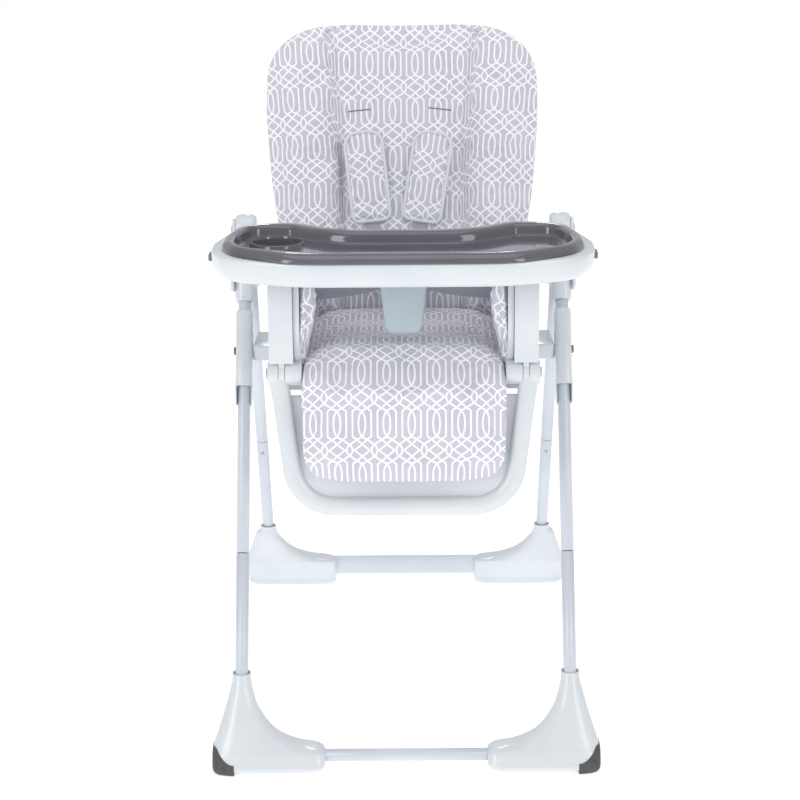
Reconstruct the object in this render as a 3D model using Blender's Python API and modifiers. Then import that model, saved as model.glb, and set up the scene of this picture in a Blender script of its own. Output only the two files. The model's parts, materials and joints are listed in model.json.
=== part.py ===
"""Baby high chair: folding A-frame, height-adjustable seat, reclining back, hinged footrest, lift-off tray.

Metres, +Z up. The chair faces -Y, so the sitter's tray is at -Y, and +X is on the viewer's right.
The origin is on the floor, under the middle of the frame.
"""
import math

import bmesh
import bpy
from mathutils import Matrix, Vector

# --- Fits -------------------------------------------------------------------------------------
GAP = 0.0003            # between two faces that touch
RUNNING = 0.0006        # round a piece that slides or turns

# --- A-frame ----------------------------------------------------------------------------------
LEG_X = 0.250           # middle of each leg pair, to the side of the chair's centre
LEG_ANGLE = math.radians(27.4)      # each leg from the vertical
HUB_Z = 0.748
HUB_R = 0.0205
TUBE_R = 0.0100
TUBE_WALL = 0.0013
LEG_OFFSET = TUBE_R + 0.0040           # leg tube to hub pivot, so that folded legs lie side by side
HUB_HALF = TUBE_R + 0.0060             # half the hub's thickness along X
TONGUE_HALF = 0.0060    # half the thickness of the rear hub's tongue, inside the front hub's fork
TONGUE_R = 0.0200
SOCKET_TOP = 0.030      # these distances run down the leg from the hub pivot
SOCKET_END = 0.121
TUBE_SEAT = 0.034       # where a tube ends inside its socket
FRONT_JOINT = 0.519     # where the upper and lower tubes meet
REAR_JOINT = 0.480
SPIGOT = 0.035          # how far a lower tube reaches into its upper tube
SOCKET_DEPTH = TUBE_R + 0.0032         # half the socket's size fore and aft
PIN_R = 0.0032
COVER_T = 0.0050
BUTTON_R = 0.0095

# --- Feet and crossbars -----------------------------------------------------------------------
FOOT_COLLAR_Z = 0.131
FOOT_BORE_TOP = (HUB_Z - FOOT_COLLAR_Z) / math.cos(LEG_ANGLE) - 0.045   # down the leg, above the collar
FOOT_OUT = LEG_X + 0.0425              # outer side of a foot
FRONT_FOOT_IN = FOOT_OUT - 0.1705      # inner end of a foot's arm, at the crossbar
REAR_FOOT_IN = FOOT_OUT - 0.1645
FOOT_ARM_Z = 0.033      # top of a front foot's arm
REAR_ARM_Z = 0.054
FOOT_CLEAR = 0.004      # the white moulding's height over the floor
FOOT_TOE_Z = 0.012      # below this height a foot is upright
FRONT_HALF_DEPTH = 0.0275
REAR_HALF_DEPTH = 0.0215
CROSSBAR_R = 0.0095
FRONT_BAR_Z = 0.0205
REAR_BAR_Z = 0.0345
REAR_BAR_HALF = (0.0075, 0.0175)    # fore-and-aft and upright half sizes of the flat oval bar
BAR_IN_FOOT = 0.040
PAD_W = 0.034           # rubber cap at the outer corner of a front foot
PAD_H = 0.042
WHEEL_R = 0.0125
WHEEL_W = 0.0080
WHEEL_X = LEG_X + 0.0160

# --- Seat height slider -----------------------------------------------------------------------
SLIDER_TOP = 0.137
SLIDER_END = 0.286
SLIDER_HALF = (TUBE_R + 0.0035, TUBE_R + 0.0065)
HEIGHT_BUTTON_R = 0.0065
HEIGHT_BUTTON_AT = -0.200           # up the leg from the hub, so below it
BASE_Z = (HUB_Z - 0.200, HUB_Z - 0.186)
BRACKET_Z = (BASE_Z[0] + 0.015, BASE_Z[0] + 0.039)
BRACKET_Y = (-0.114, -0.020)

# --- Seat -------------------------------------------------------------------------------------
ARM_X = (LEG_X - 0.0847, LEG_X - 0.0487)    # inner and outer face of an armrest
ARM_TOP = HUB_Z - 0.0185
ARM_FRONT = -0.268
ARM_REAR = 0.030
ARM_WEB = (ARM_X[0] + 0.0227, ARM_X[0] + 0.0282)
COLUMN_D = 0.0385
BASE_HALF = ARM_X[1] - 0.0008
BASE_Y = (-0.2295, 0.086)
SEAT_TOP = BASE_Z[1] + 0.050
SEAT_PAD_HALF = ARM_X[0] - 0.0188
SEAT_PAD_Y = (-0.266, 0.018)
WING_X = (ARM_X[0] - 0.0163, ARM_X[0] - 0.0028)
STRAP_W = 0.025
STRAP_T = 0.0024

# --- Footrest ---------------------------------------------------------------------------------
KNEE_Y = -0.250
KNEE_Z = BASE_Z[0] + 0.032
KNEE_R = 0.0180
KNEE_X = (ARM_X[0] - 0.0123, ARM_X[1] + 0.0032)
TONGUE_X = (ARM_X[0] + 0.0132, ARM_X[0] + 0.0227)
FOOTREST_LEAN = math.radians(8.8)
FOOTREST_LEN = 0.2175
FOOTREST_TOP_HALF = ARM_X[1] + 0.0017
FOOTREST_LOW_HALF = FOOTREST_TOP_HALF - 0.0270
FOOTREST_CORNER = 0.080
RAIL_W = 0.0290
RAIL_D = 0.0280
PANEL_TOP = -0.036
CALF_HALF = SEAT_PAD_HALF + 0.0035
CALF_LEN = 0.160

# --- Backrest ---------------------------------------------------------------------------------
BACK_LEAN = math.radians(20.0)
RECLINE_Y = 0.069
RECLINE_Z = BASE_Z[0] + 0.042
AXLE_R = 0.0040
BACK_TOP = 0.479        # these heights run up the back from the recline axis
BACK_LOW_HALF = ARM_X[0] - 0.0003
BACK_WAIST = (ARM_X[1] + 0.0037, 0.150)        # half width, height
BACK_WIDE = (BACK_WAIST[0] + 0.016, 0.345)
BACK_CORNER = 0.095
PAD_FRONT = -0.034
PAD_BACK = -0.0085
SHELL_T = 0.0130
SHELL_WALL = 0.0040
EAR_X = (ARM_X[0] - 0.0153, ARM_X[0] - 0.0033)
LUG_X = (EAR_X[0] - 0.0200, EAR_X[0] - 0.0010)
HANDLE_HALF = 0.055

# --- Tray -------------------------------------------------------------------------------------
TRAY_HALF = LEG_X + 0.0360
TRAY_FRONT = -0.3470
TRAY_REAR = -0.0880
BELLY = -0.1450
TRAY_Z = (ARM_TOP + 0.0005, ARM_TOP + 0.0375)       # the white lower tray
RIM_TOP = TRAY_Z[1] + 0.0140
RIM_W = 0.0300
BASIN_Z = TRAY_Z[1] - 0.0040
TRAY_WALL = 0.0035
CUP_R = 0.0400
CUP_AT = (0.096 - TRAY_HALF, -0.185)
CUP_Z = TRAY_Z[0] + 0.0100
POST_TOP_HALF = 0.0410
POST_LOW_HALF = 0.0260
POST_Z = TRAY_Z[0] - 0.0930
POST_Y = (-0.246, -0.222)
LATCH_OUT = TRAY_HALF + 0.0048
LATCH_Y = (-0.226, -0.202)
LATCH_Z = (TRAY_Z[0] + 0.0175, TRAY_Z[0] + 0.0280)
LATCH_TRAVEL = 0.002

SIDES = (("left", -1), ("right", 1))
ROUND = 20              # sides of a turned piece
SMALL_ROUND = 12        # sides of a pin or a small button
SMALL_EDGE = 0.0035     # a radius up to this one is a chamfer


# --- Scene ------------------------------------------------------------------------------------
def clear_scene():
    for obj in list(bpy.data.objects):
        bpy.data.objects.remove(obj, do_unlink=True)


def collection(name, hidden=False):
    found = bpy.data.collections.new(name)
    bpy.context.scene.collection.children.link(found)
    found.hide_render = hidden
    return found


def material(name, colour, roughness, metallic=0.0):
    """A Principled BSDF with one linear RGB colour."""
    made = bpy.data.materials.new(name)
    made.use_nodes = True
    shader = made.node_tree.nodes["Principled BSDF"]
    shader.inputs["Base Color"].default_value = (*colour, 1.0)
    shader.inputs["Roughness"].default_value = roughness
    shader.inputs["Metallic"].default_value = metallic
    made.diffuse_color = (*colour, 1.0)
    return made


clear_scene()
PARTS = collection("baby_high_chair")
CUTTERS = collection("cutters", hidden=True)
WHITE = material("white_plastic", (0.80, 0.85, 0.88), 0.30)
GREY = material("grey_tray", (0.165, 0.155, 0.170), 0.25)
TUBE = material("silver_tube", (0.60, 0.64, 0.70), 0.35, 0.6)
RUBBER = material("dark_rubber", (0.08, 0.08, 0.085), 0.70)
FABRIC = material("printed_fabric", (0.62, 0.60, 0.66), 0.85)
WEBBING = material("webbing", (0.55, 0.57, 0.60), 0.80)
STEEL = material("steel", (0.60, 0.60, 0.60), 0.30, 1.0)


# --- Modelling helpers ------------------------------------------------------------------------
def add(name, mesh, paint, parent=None, at=(0.0, 0.0, 0.0)):
    """A mesh object in the chair's collection, or in the cutters' collection when paint is None."""
    obj = bpy.data.objects.new(name, mesh)
    obj.location = at
    obj.parent = parent
    if paint is None:
        CUTTERS.objects.link(obj)
        obj.hide_render = True
        obj.display_type = "WIRE"
        return obj
    PARTS.objects.link(obj)
    mesh.materials.append(paint)
    mesh.shade_smooth()
    mesh.set_sharp_from_angle(angle=math.radians(35.0))
    return obj


def axis_empty(name, at, turn_x=0.0):
    """An empty on a joint's axis, turned about X."""
    empty = bpy.data.objects.new(name, None)
    empty.location = at
    empty.rotation_euler = (turn_x, 0.0, 0.0)
    empty.empty_display_size = 0.05
    PARTS.objects.link(empty)
    return empty


def bevel(obj, width):
    """Rounded edges, with a plain chamfer where the radius is small."""
    modifier = obj.modifiers.new("Bevel", "BEVEL")
    modifier.width = width
    modifier.segments = 2 if width > SMALL_EDGE else 1
    modifier.limit_method = "ANGLE"
    modifier.angle_limit = math.radians(40.0)
    return obj


def combine(obj, tool, operation):
    modifier = obj.modifiers.new(operation.title(), "BOOLEAN")
    modifier.operation = operation
    modifier.solver = "EXACT"
    modifier.object = tool
    return obj


def cut(obj, *tools):
    for tool in tools:
        combine(obj, tool, "DIFFERENCE")
    return obj


def join(obj, *tools):
    for tool in tools:
        combine(obj, tool, "UNION")
    return obj


def box(name, low, high, paint, parent=None, edge=0.0, turn_y=0.0):
    """A box between two corners, turned about its own middle along Y."""
    mesh = bpy.data.meshes.new(name)
    shape = bmesh.new()
    bmesh.ops.create_cube(shape, size=1.0)
    bmesh.ops.scale(shape, vec=[b - a for a, b in zip(low, high)], verts=shape.verts)
    shape.to_mesh(mesh)
    shape.free()
    obj = add(name, mesh, paint, parent, [(a + b) / 2 for a, b in zip(low, high)])
    obj.rotation_euler = (0.0, turn_y, 0.0)
    if edge:
        bevel(obj, edge)
    return obj


def along(axis):
    """The rotation that takes Z to the named axis."""
    if axis == "X":
        return Matrix.Rotation(math.radians(90.0), 4, "Y")
    if axis == "Y":
        return Matrix.Rotation(math.radians(-90.0), 4, "X")
    return Matrix.Identity(4)


def cylinder(name, radius, span, at, paint, parent=None, axis="X", sides=ROUND, edge=0.0, end_radius=None):
    """A cylinder or cone between the two values of span along its axis; at is a point on the axis."""
    mesh = bpy.data.meshes.new(name)
    shape = bmesh.new()
    length = span[1] - span[0]
    far = radius if end_radius is None else end_radius
    bmesh.ops.create_cone(shape, cap_ends=True, segments=sides, radius1=radius, radius2=far, depth=length)
    bmesh.ops.translate(shape, vec=(0.0, 0.0, (span[0] + span[1]) / 2), verts=shape.verts)
    bmesh.ops.transform(shape, matrix=along(axis), verts=shape.verts)
    shape.to_mesh(mesh)
    shape.free()
    obj = add(name, mesh, paint, parent, at)
    if edge:
        bevel(obj, edge)
    return obj


def turned(name, profile, paint, parent=None, at=(0.0, 0.0, 0.0), closed=False, sides=ROUND):
    """A profile of (radius, height), run down its outer side, turned about Z."""
    mesh = bpy.data.meshes.new(name)
    count = len(profile)
    edges = [(i, (i + 1) % count) for i in range(count if closed else count - 1)]
    mesh.from_pydata([(r, 0.0, z) for r, z in profile], edges, [])
    obj = add(name, mesh, paint, parent, at)
    screw = obj.modifiers.new("Screw", "SCREW")
    screw.axis = "Z"
    screw.steps = sides
    screw.render_steps = sides
    screw.use_merge_vertices = True
    screw.merge_threshold = 0.0001
    screw.use_smooth_shade = False
    return obj


def rounded(corners, steps=3):
    """A closed outline through (x, y, radius) corners, each turned into a tangent arc."""
    outline = []
    for index, (x, y, radius) in enumerate(corners):
        corner = Vector((x, y))
        before = (Vector(corners[index - 1][:2]) - corner).normalized()
        after = (Vector(corners[(index + 1) % len(corners)][:2]) - corner).normalized()
        if radius <= 0.0:
            outline.append(corner)
            continue
        half = before.angle(after) / 2
        centre = corner + (before + after).normalized() * (radius / math.sin(half))
        start = corner + before * (radius / math.tan(half)) - centre
        end = corner + after * (radius / math.tan(half)) - centre
        first = math.atan2(start.y, start.x)
        sweep = (math.atan2(end.y, end.x) - first + math.pi) % (2 * math.pi) - math.pi
        for step in range(steps + 1):
            angle = first + sweep * step / steps
            outline.append(centre + radius * Vector((math.cos(angle), math.sin(angle))))
    return outline


def mirrored(half):
    """The corners of one side, given from bottom middle to top middle, and their mirror images."""
    return list(half) + [(-x, y, radius) for x, y, radius in reversed(half)]


PLANES = {
    "XY": Matrix.Identity(4),
    "XZ": Matrix(((1, 0, 0, 0), (0, 0, -1, 0), (0, 1, 0, 0), (0, 0, 0, 1))),
    "YZ": Matrix(((0, 0, 1, 0), (1, 0, 0, 0), (0, 1, 0, 0), (0, 0, 0, 1))),
}


def plate(name, outline, span, plane, paint, parent=None, edge=0.0, at=(0.0, 0.0, 0.0)):
    """A flat outline given thickness between the two values of span, which run across its plane."""
    curve = bpy.data.curves.new(name, "CURVE")
    curve.dimensions = "2D"
    curve.fill_mode = "BOTH"
    curve.extrude = (span[1] - span[0]) / 2
    spline = curve.splines.new("POLY")
    spline.points.add(len(outline) - 1)
    for point, place in zip(spline.points, outline):
        point.co = (place[0], place[1], 0.0, 1.0)
    spline.use_cyclic_u = True
    holder = bpy.data.objects.new(name + "_outline", curve)
    CUTTERS.objects.link(holder)
    bpy.context.view_layer.update()
    mesh = bpy.data.meshes.new_from_object(holder.evaluated_get(bpy.context.evaluated_depsgraph_get()))
    bpy.data.objects.remove(holder, do_unlink=True)
    shape = bmesh.new()
    shape.from_mesh(mesh)
    bmesh.ops.remove_doubles(shape, verts=shape.verts, dist=0.00001)
    middle = (span[0] + span[1]) / 2
    if plane == "XZ":
        middle = -middle
    bmesh.ops.translate(shape, vec=(0.0, 0.0, middle), verts=shape.verts)
    bmesh.ops.transform(shape, matrix=PLANES[plane], verts=shape.verts)
    bmesh.ops.recalc_face_normals(shape, faces=shape.faces)
    shape.to_mesh(mesh)
    shape.free()
    mesh.name = name
    obj = add(name, mesh, paint, parent, at)
    if edge:
        bevel(obj, edge)
    return obj


def loft(name, sections, paint, parent=None):
    """A closed skin over sections with the same number of points, in order along the piece."""
    mesh = bpy.data.meshes.new(name)
    shape = bmesh.new()
    rings = [[shape.verts.new(point) for point in section] for section in sections]
    count = len(rings[0])
    for lower, upper in zip(rings, rings[1:]):
        for i in range(count):
            j = (i + 1) % count
            shape.faces.new((lower[i], lower[j], upper[j], upper[i]))
    shape.faces.new(rings[0])
    shape.faces.new(rings[-1])
    bmesh.ops.recalc_face_normals(shape, faces=shape.faces)
    shape.to_mesh(mesh)
    shape.free()
    return add(name, mesh, paint, parent)


def oval(centre, half, z, power=2.0, sides=ROUND):
    """A superellipse in a level plane: power 2 is an ellipse, more is squarer."""
    points = []
    for i in range(sides):
        angle = 2 * math.pi * i / sides
        c, s = math.cos(angle), math.sin(angle)
        x = centre[0] + half[0] * math.copysign(abs(c) ** (2 / power), c)
        y = centre[1] + half[1] * math.copysign(abs(s) ** (2 / power), s)
        points.append((x, y, z))
    return points


def pair(side, inner, outer):
    """The two X values of a span on one side, in rising order."""
    return tuple(sorted((side * inner, side * outer)))


# --- A-frame ----------------------------------------------------------------------------------
def leg_y(z, lean):
    """Where the axis of a front (lean -1) or rear (lean 1) tube is at a height."""
    top = HUB_Z + LEG_OFFSET * math.sin(LEG_ANGLE)
    return lean * (LEG_OFFSET * math.cos(LEG_ANGLE) + (top - z) * math.tan(LEG_ANGLE))


def tube_bore(name, frame, lean, start, end, spare):
    """A cutter round a leg tube, between two distances from the hub."""
    profile = [(0.0, -start), (TUBE_R + spare, -start), (TUBE_R + spare, -end), (0.0, -end)]
    return turned(name, profile, None, frame, (0.0, lean * LEG_OFFSET, 0.0))


def leg_tubes(side_name, kind, frame, lean, joint, end):
    """The upper tube, and the lower tube with its narrower spigot."""
    place = (0.0, lean * LEG_OFFSET, 0.0)
    inner = TUBE_R - TUBE_WALL
    upper = [(TUBE_R, -TUBE_SEAT), (TUBE_R, -joint), (inner, -joint), (inner, -TUBE_SEAT)]
    turned(f"{kind}_tube_upper_{side_name}", upper, TUBE, frame, place, closed=True)
    spigot = inner - GAP
    bore = spigot - TUBE_WALL
    top = -joint + SPIGOT
    shoulder = -joint - GAP
    lower = [(spigot, top), (spigot, shoulder), (TUBE_R, shoulder), (TUBE_R, -end), (bore, -end), (bore, top)]
    return turned(f"{kind}_tube_lower_{side_name}", lower, TUBE, frame, place, closed=True)


def socket(name, frame, lean, paint):
    """The collar of a hub, an oval tapering a little toward its end."""
    y = lean * LEG_OFFSET
    widths = ((SOCKET_TOP, TUBE_R + 0.0050), (0.055, TUBE_R + 0.0058), (0.100, TUBE_R + 0.0058),
              (SOCKET_END, TUBE_R + 0.0050))
    sections = [oval((0.0, y), (half, SOCKET_DEPTH - 0.0002), -r, 2.4) for r, half in widths]
    return loft(name, sections, paint, frame)


def front_hub(name, side, frame):
    """The fixed half of the fold hinge: a fork that holds the pivot pin, over the front tube's socket."""
    hub = cylinder(f"hub_front_{name}", HUB_R, (-HUB_HALF, HUB_HALF), (0, 0, 0), WHITE, frame,
                   sides=ROUND + 4, edge=0.002)
    neck = box(f"neck_front_{name}", (0.0012 - HUB_HALF, -LEG_OFFSET - 0.0122, -0.045),
               (HUB_HALF - 0.0012, -0.0035, -0.006), None, frame)
    join(hub, neck, socket(f"socket_front_{name}", frame, -1, None))
    slot = cylinder(f"slot_front_{name}", TONGUE_R + 0.0065, (-TONGUE_HALF - RUNNING, TONGUE_HALF + RUNNING),
                    (0, 0, 0), None, frame, sides=ROUND + 4)
    pin_hole = cylinder(f"pin_hole_front_{name}", PIN_R + GAP, (-0.03, 0.03), (0, 0, 0), None, frame,
                        sides=SMALL_ROUND)
    recess = cylinder(f"recess_{name}", BUTTON_R + RUNNING, pair(side, 0.0105, 0.03), (0, 0, 0), None, frame)
    bore = tube_bore(f"bore_front_{name}", frame, -1, TUBE_SEAT - GAP, SOCKET_END + 0.01, GAP)
    return cut(hub, slot, pin_hole, recess, bore)


def rear_hub(name, frame):
    """The turning half of the fold hinge: a tongue in the fork, over the rear tube's socket."""
    hub = cylinder(f"hub_rear_{name}", TONGUE_R, (-TONGUE_HALF, TONGUE_HALF), (0, 0, 0), WHITE, frame,
                   sides=ROUND + 4)
    neck = box(f"neck_rear_{name}", (-TONGUE_HALF, 0.0040, -0.040),
               (TONGUE_HALF, LEG_OFFSET + 0.0055, -0.004), None, frame)
    join(hub, neck, socket(f"socket_rear_{name}", frame, 1, None))
    pin_hole = cylinder(f"pin_hole_rear_{name}", PIN_R + GAP, (-0.03, 0.03), (0, 0, 0), None, frame,
                        sides=SMALL_ROUND)
    bore = tube_bore(f"bore_rear_{name}", frame, 1, TUBE_SEAT - GAP, SOCKET_END + 0.01, GAP)
    return cut(hub, pin_hole, bore)


def hub_hardware(name, side, frame):
    """The pivot pin with its inner head, the outer cover, and the fold button in it."""
    pin = cylinder(f"hub_pin_{name}", PIN_R, pair(side, -HUB_HALF - 0.0015, 0.0095), (0, 0, 0), STEEL, frame,
                   sides=SMALL_ROUND)
    head = cylinder(f"pin_head_{name}", 0.0065, pair(side, -HUB_HALF - 0.0028, -HUB_HALF - GAP), (0, 0, 0),
                    None, frame, sides=SMALL_ROUND)
    join(pin, head)
    outline = rounded([(-0.0350, -0.105, 0.010), (-0.0080, -0.105, 0.010), (0.0190, -0.006, 0.012),
                       (0.0190, 0.0190, 0.0185), (-0.0190, 0.0190, 0.0185), (-0.0250, -0.030, 0.010)])
    cover = plate(f"hub_cover_{name}", outline, pair(side, HUB_HALF + GAP, HUB_HALF + COVER_T), "YZ", WHITE,
                  frame,
                  edge=0.0015)
    opening = cylinder(f"cover_opening_{name}", BUTTON_R + RUNNING, pair(side, 0.01, 0.03), (0, 0, 0), None,
                       frame)
    cut(cover, opening)
    cylinder(f"fold_button_{name}", BUTTON_R, pair(side, 0.0140, HUB_HALF + COVER_T + 0.0022), (0, 0, 0),
             GREY,
             frame, edge=0.0012)


def foot_sections(side, lean, inner_end, arm_z, half_depth, low, swell=0.0):
    """Level sections of a foot: a round collar on the tube that spreads into an arm toward the crossbar."""
    spread = arm_z / FOOT_ARM_Z
    collar = TUBE_R + 0.0045
    table = (
        (FOOT_COLLAR_Z, LEG_X + collar, LEG_X - collar, collar, 2.0),
        (0.0930 + 0.006 * (spread - 1), FOOT_OUT - 0.0170, LEG_X - 0.0210, 0.0190, 2.1),
        (0.0700 + 0.010 * (spread - 1), FOOT_OUT - 0.0080, LEG_X - 0.0350, 0.0225, 2.3),
        (0.0500 + 0.018 * (spread - 1), FOOT_OUT - 0.0020, LEG_X - 0.0540, 0.0255, 2.6),
        (arm_z + 0.0045, FOOT_OUT - 0.0005, LEG_X - 0.0770, 0.0265, 3.0),
        (arm_z + 0.0010, FOOT_OUT, inner_end + 0.014, 0.0270, 3.6),
        (arm_z - 0.0020, FOOT_OUT, inner_end + 0.003, 0.0275, 4.0),
        (low + 0.0060, FOOT_OUT - 0.0005, inner_end, 0.0275, 4.0),
        (low, FOOT_OUT - 0.0030, inner_end + 0.004, 0.0255, 4.0),
    )
    sections = []
    for z, outer, inner, depth, power in table:
        scale = half_depth / FRONT_HALF_DEPTH if z < 0.1 else 1.0
        heel = (FRONT_HALF_DEPTH - half_depth) * (1.0 - z / FOOT_COLLAR_Z)
        centre = (side * (outer + inner) / 2, leg_y(max(z, FOOT_TOE_Z), lean) + lean * heel)
        half = ((outer - inner) / 2 + swell, max(depth * scale, collar) + swell)
        sections.append(oval(centre, half, z, power))
    return sections


def front_foot(name, side, frame):
    """The front shoe on its rubber cap, which wraps the outer corner and carries the load."""
    sections = foot_sections(side, -1, FRONT_FOOT_IN, FOOT_ARM_Z, FRONT_HALF_DEPTH, FOOT_CLEAR)
    foot = loft(f"front_foot_{name}", sections, WHITE)
    edge_x = FOOT_OUT - PAD_W
    reach = FOOT_OUT + 0.01

    def corner(spare):
        return rounded([(side * (edge_x - spare), -0.01, 0.0), (side * reach, -0.01, 0.0),
                        (side * reach, PAD_H + spare, 0.0), (side * (edge_x + 0.008), 0.026 + spare, 0.010),
                        (side * (edge_x - spare), 0.017 + spare, 0.004)], steps=3)

    notch = plate(f"pad_notch_{name}", corner(GAP), (-0.5, -0.3), "XZ", None)
    bore = tube_bore(f"foot_bore_front_{name}", frame, -1, FOOT_BORE_TOP, leg_end(-1) + GAP, GAP)
    bar_hole = cylinder(f"bar_hole_front_{name}", CROSSBAR_R + GAP,
                        pair(side, 0.0, FRONT_FOOT_IN + BAR_IN_FOOT + GAP), (0, front_bar_y(), FRONT_BAR_Z),
                        None)
    cut(foot, notch, bore, bar_hole)
    pad_sections = foot_sections(side, -1, FRONT_FOOT_IN, FOOT_ARM_Z, FRONT_HALF_DEPTH, 0.0, 0.0004)
    pad = loft(f"front_foot_pad_{name}", pad_sections, RUBBER)
    combine(pad, plate(f"pad_shape_{name}", corner(0.0), (-0.5, -0.3), "XZ", None), "INTERSECT")
    return foot


def leg_end(lean):
    """How far down a leg its tube ends, inside the foot."""
    height = 0.062 if lean < 0 else 0.078
    return (HUB_Z + LEG_OFFSET * math.sin(LEG_ANGLE) - height) / math.cos(LEG_ANGLE)


def front_bar_y():
    return leg_y(FRONT_BAR_Z, -1)


def rear_bar_y():
    return leg_y(REAR_BAR_Z, 1) + 0.001


def rear_foot(name, side, frame, rear_axis):
    """The rear shoe, with a slot in its underside for the transport wheel."""
    sections = foot_sections(side, 1, REAR_FOOT_IN, REAR_ARM_Z, REAR_HALF_DEPTH, 0.0)
    foot = loft(f"rear_foot_{name}", sections, WHITE)
    bore = tube_bore(f"foot_bore_rear_{name}", frame, 1, FOOT_BORE_TOP, leg_end(1) + GAP, GAP)
    hole = bar_solid(f"bar_hole_rear_{name}", pair(side, 0.0, REAR_FOOT_IN + BAR_IN_FOOT + GAP), GAP, None)
    wheel_y = rear_wheel_y()
    slot_low = (side * WHEEL_X - WHEEL_W / 2 - 0.001, wheel_y - 0.05, -0.01)
    slot_high = (side * WHEEL_X + WHEEL_W / 2 + 0.001, wheel_y + 0.05, WHEEL_R + 0.0155)
    slot = box(f"wheel_slot_{name}", slot_low, slot_high, None)
    axle_hole = cylinder(f"axle_hole_{name}", 0.0026, pair(side, WHEEL_X - 0.010, WHEEL_X + 0.010),
                         (0, wheel_y, WHEEL_R + 0.001), None, sides=SMALL_ROUND)
    cut(foot, bore, hole, slot, axle_hole)
    hang(foot, rear_axis)


def rear_wheel_y():
    return leg_y(0.012, 1) + 0.004


def bar_solid(name, span, spare, paint, parent=None):
    """The flat oval rear crossbar, or a cutter a little larger."""
    half_y, half_z = (value + spare for value in REAR_BAR_HALF)
    corners = [(-half_y, -half_z, half_y * 0.98), (half_y, -half_z, half_y * 0.98),
               (half_y, half_z, half_y * 0.98), (-half_y, half_z, half_y * 0.98)]
    outline = [(p[0] + rear_bar_y(), p[1] + REAR_BAR_Z) for p in rounded(corners)]
    return plate(name, outline, span, "YZ", paint, parent)


def crossbars(rear_axis):
    reach = FRONT_FOOT_IN + BAR_IN_FOOT
    bar = cylinder("front_crossbar", CROSSBAR_R, (-reach, reach), (0, front_bar_y(), FRONT_BAR_Z), TUBE)
    cut(bar, cylinder("front_bar_bore", CROSSBAR_R - TUBE_WALL, (-reach - 0.01, reach + 0.01),
                      (0, front_bar_y(), FRONT_BAR_Z), None))
    reach = REAR_FOOT_IN + BAR_IN_FOOT
    bar = bar_solid("rear_crossbar", (-reach, reach), 0.0, TUBE)
    cut(bar, bar_solid("rear_bar_bore", (-reach - 0.01, reach + 0.01), -TUBE_WALL, None))
    hang(bar, rear_axis)


def hang(obj, empty):
    """Parent an object, built in world coordinates, to an empty without moving it."""
    bpy.context.view_layer.update()
    obj.parent = empty
    obj.matrix_parent_inverse = empty.matrix_world.inverted()


def wheel(name, side):
    """A transport wheel with stub axles, just clear of the floor until the chair is tipped back."""
    axis = axis_empty(f"wheel_axis_{name}", (side * WHEEL_X, rear_wheel_y(), WHEEL_R + 0.001))
    tread = cylinder(f"wheel_{name}", WHEEL_R, (-WHEEL_W / 2, WHEEL_W / 2), (0, 0, 0), RUBBER, axis,
                     edge=0.001)
    stub = cylinder(f"wheel_stub_{name}", 0.0020, (-WHEEL_W / 2 - 0.0045, WHEEL_W / 2 + 0.0045), (0, 0, 0),
                    None,
                    axis, sides=SMALL_ROUND)
    join(tread, stub)


def snap_button(name, side, frame, tube):
    """The sprung button that locks the lower rear tube into the upper one."""
    place = (0.0, LEG_OFFSET, -REAR_JOINT - 0.026)
    span = (-TUBE_R - 0.0022, -TUBE_R + 0.0050)
    hole = cylinder(f"snap_hole_{name}", 0.0032 + RUNNING, (-0.02, -0.004), place, None, frame, axis="Y",
                    sides=SMALL_ROUND)
    cut(tube, hole)
    cylinder(f"snap_button_{name}", 0.0032, span, place, STEEL, frame, axis="Y", sides=SMALL_ROUND,
             edge=0.0007)


def a_frame():
    rear_axis = axis_empty("rear_frame_axis", (0.0, 0.0, HUB_Z))
    for name, side in SIDES:
        front = axis_empty(f"front_leg_{name}", (side * LEG_X, 0.0, HUB_Z), -LEG_ANGLE)
        rear = axis_empty(f"rear_leg_{name}", (side * LEG_X, 0.0, HUB_Z), LEG_ANGLE)
        front_hub(name, side, front)
        rear_hub(name, rear)
        hub_hardware(name, side, front)
        leg_tubes(name, "front", front, -1, FRONT_JOINT, leg_end(-1))
        lower = leg_tubes(name, "rear", rear, 1, REAR_JOINT, leg_end(1))
        snap_button(name, side, rear, lower)
        front_foot(name, side, front)
        rear_foot(name, side, rear, rear_axis)
        wheel(name, side)
        slider(name, side, front)
    crossbars(rear_axis)


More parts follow.
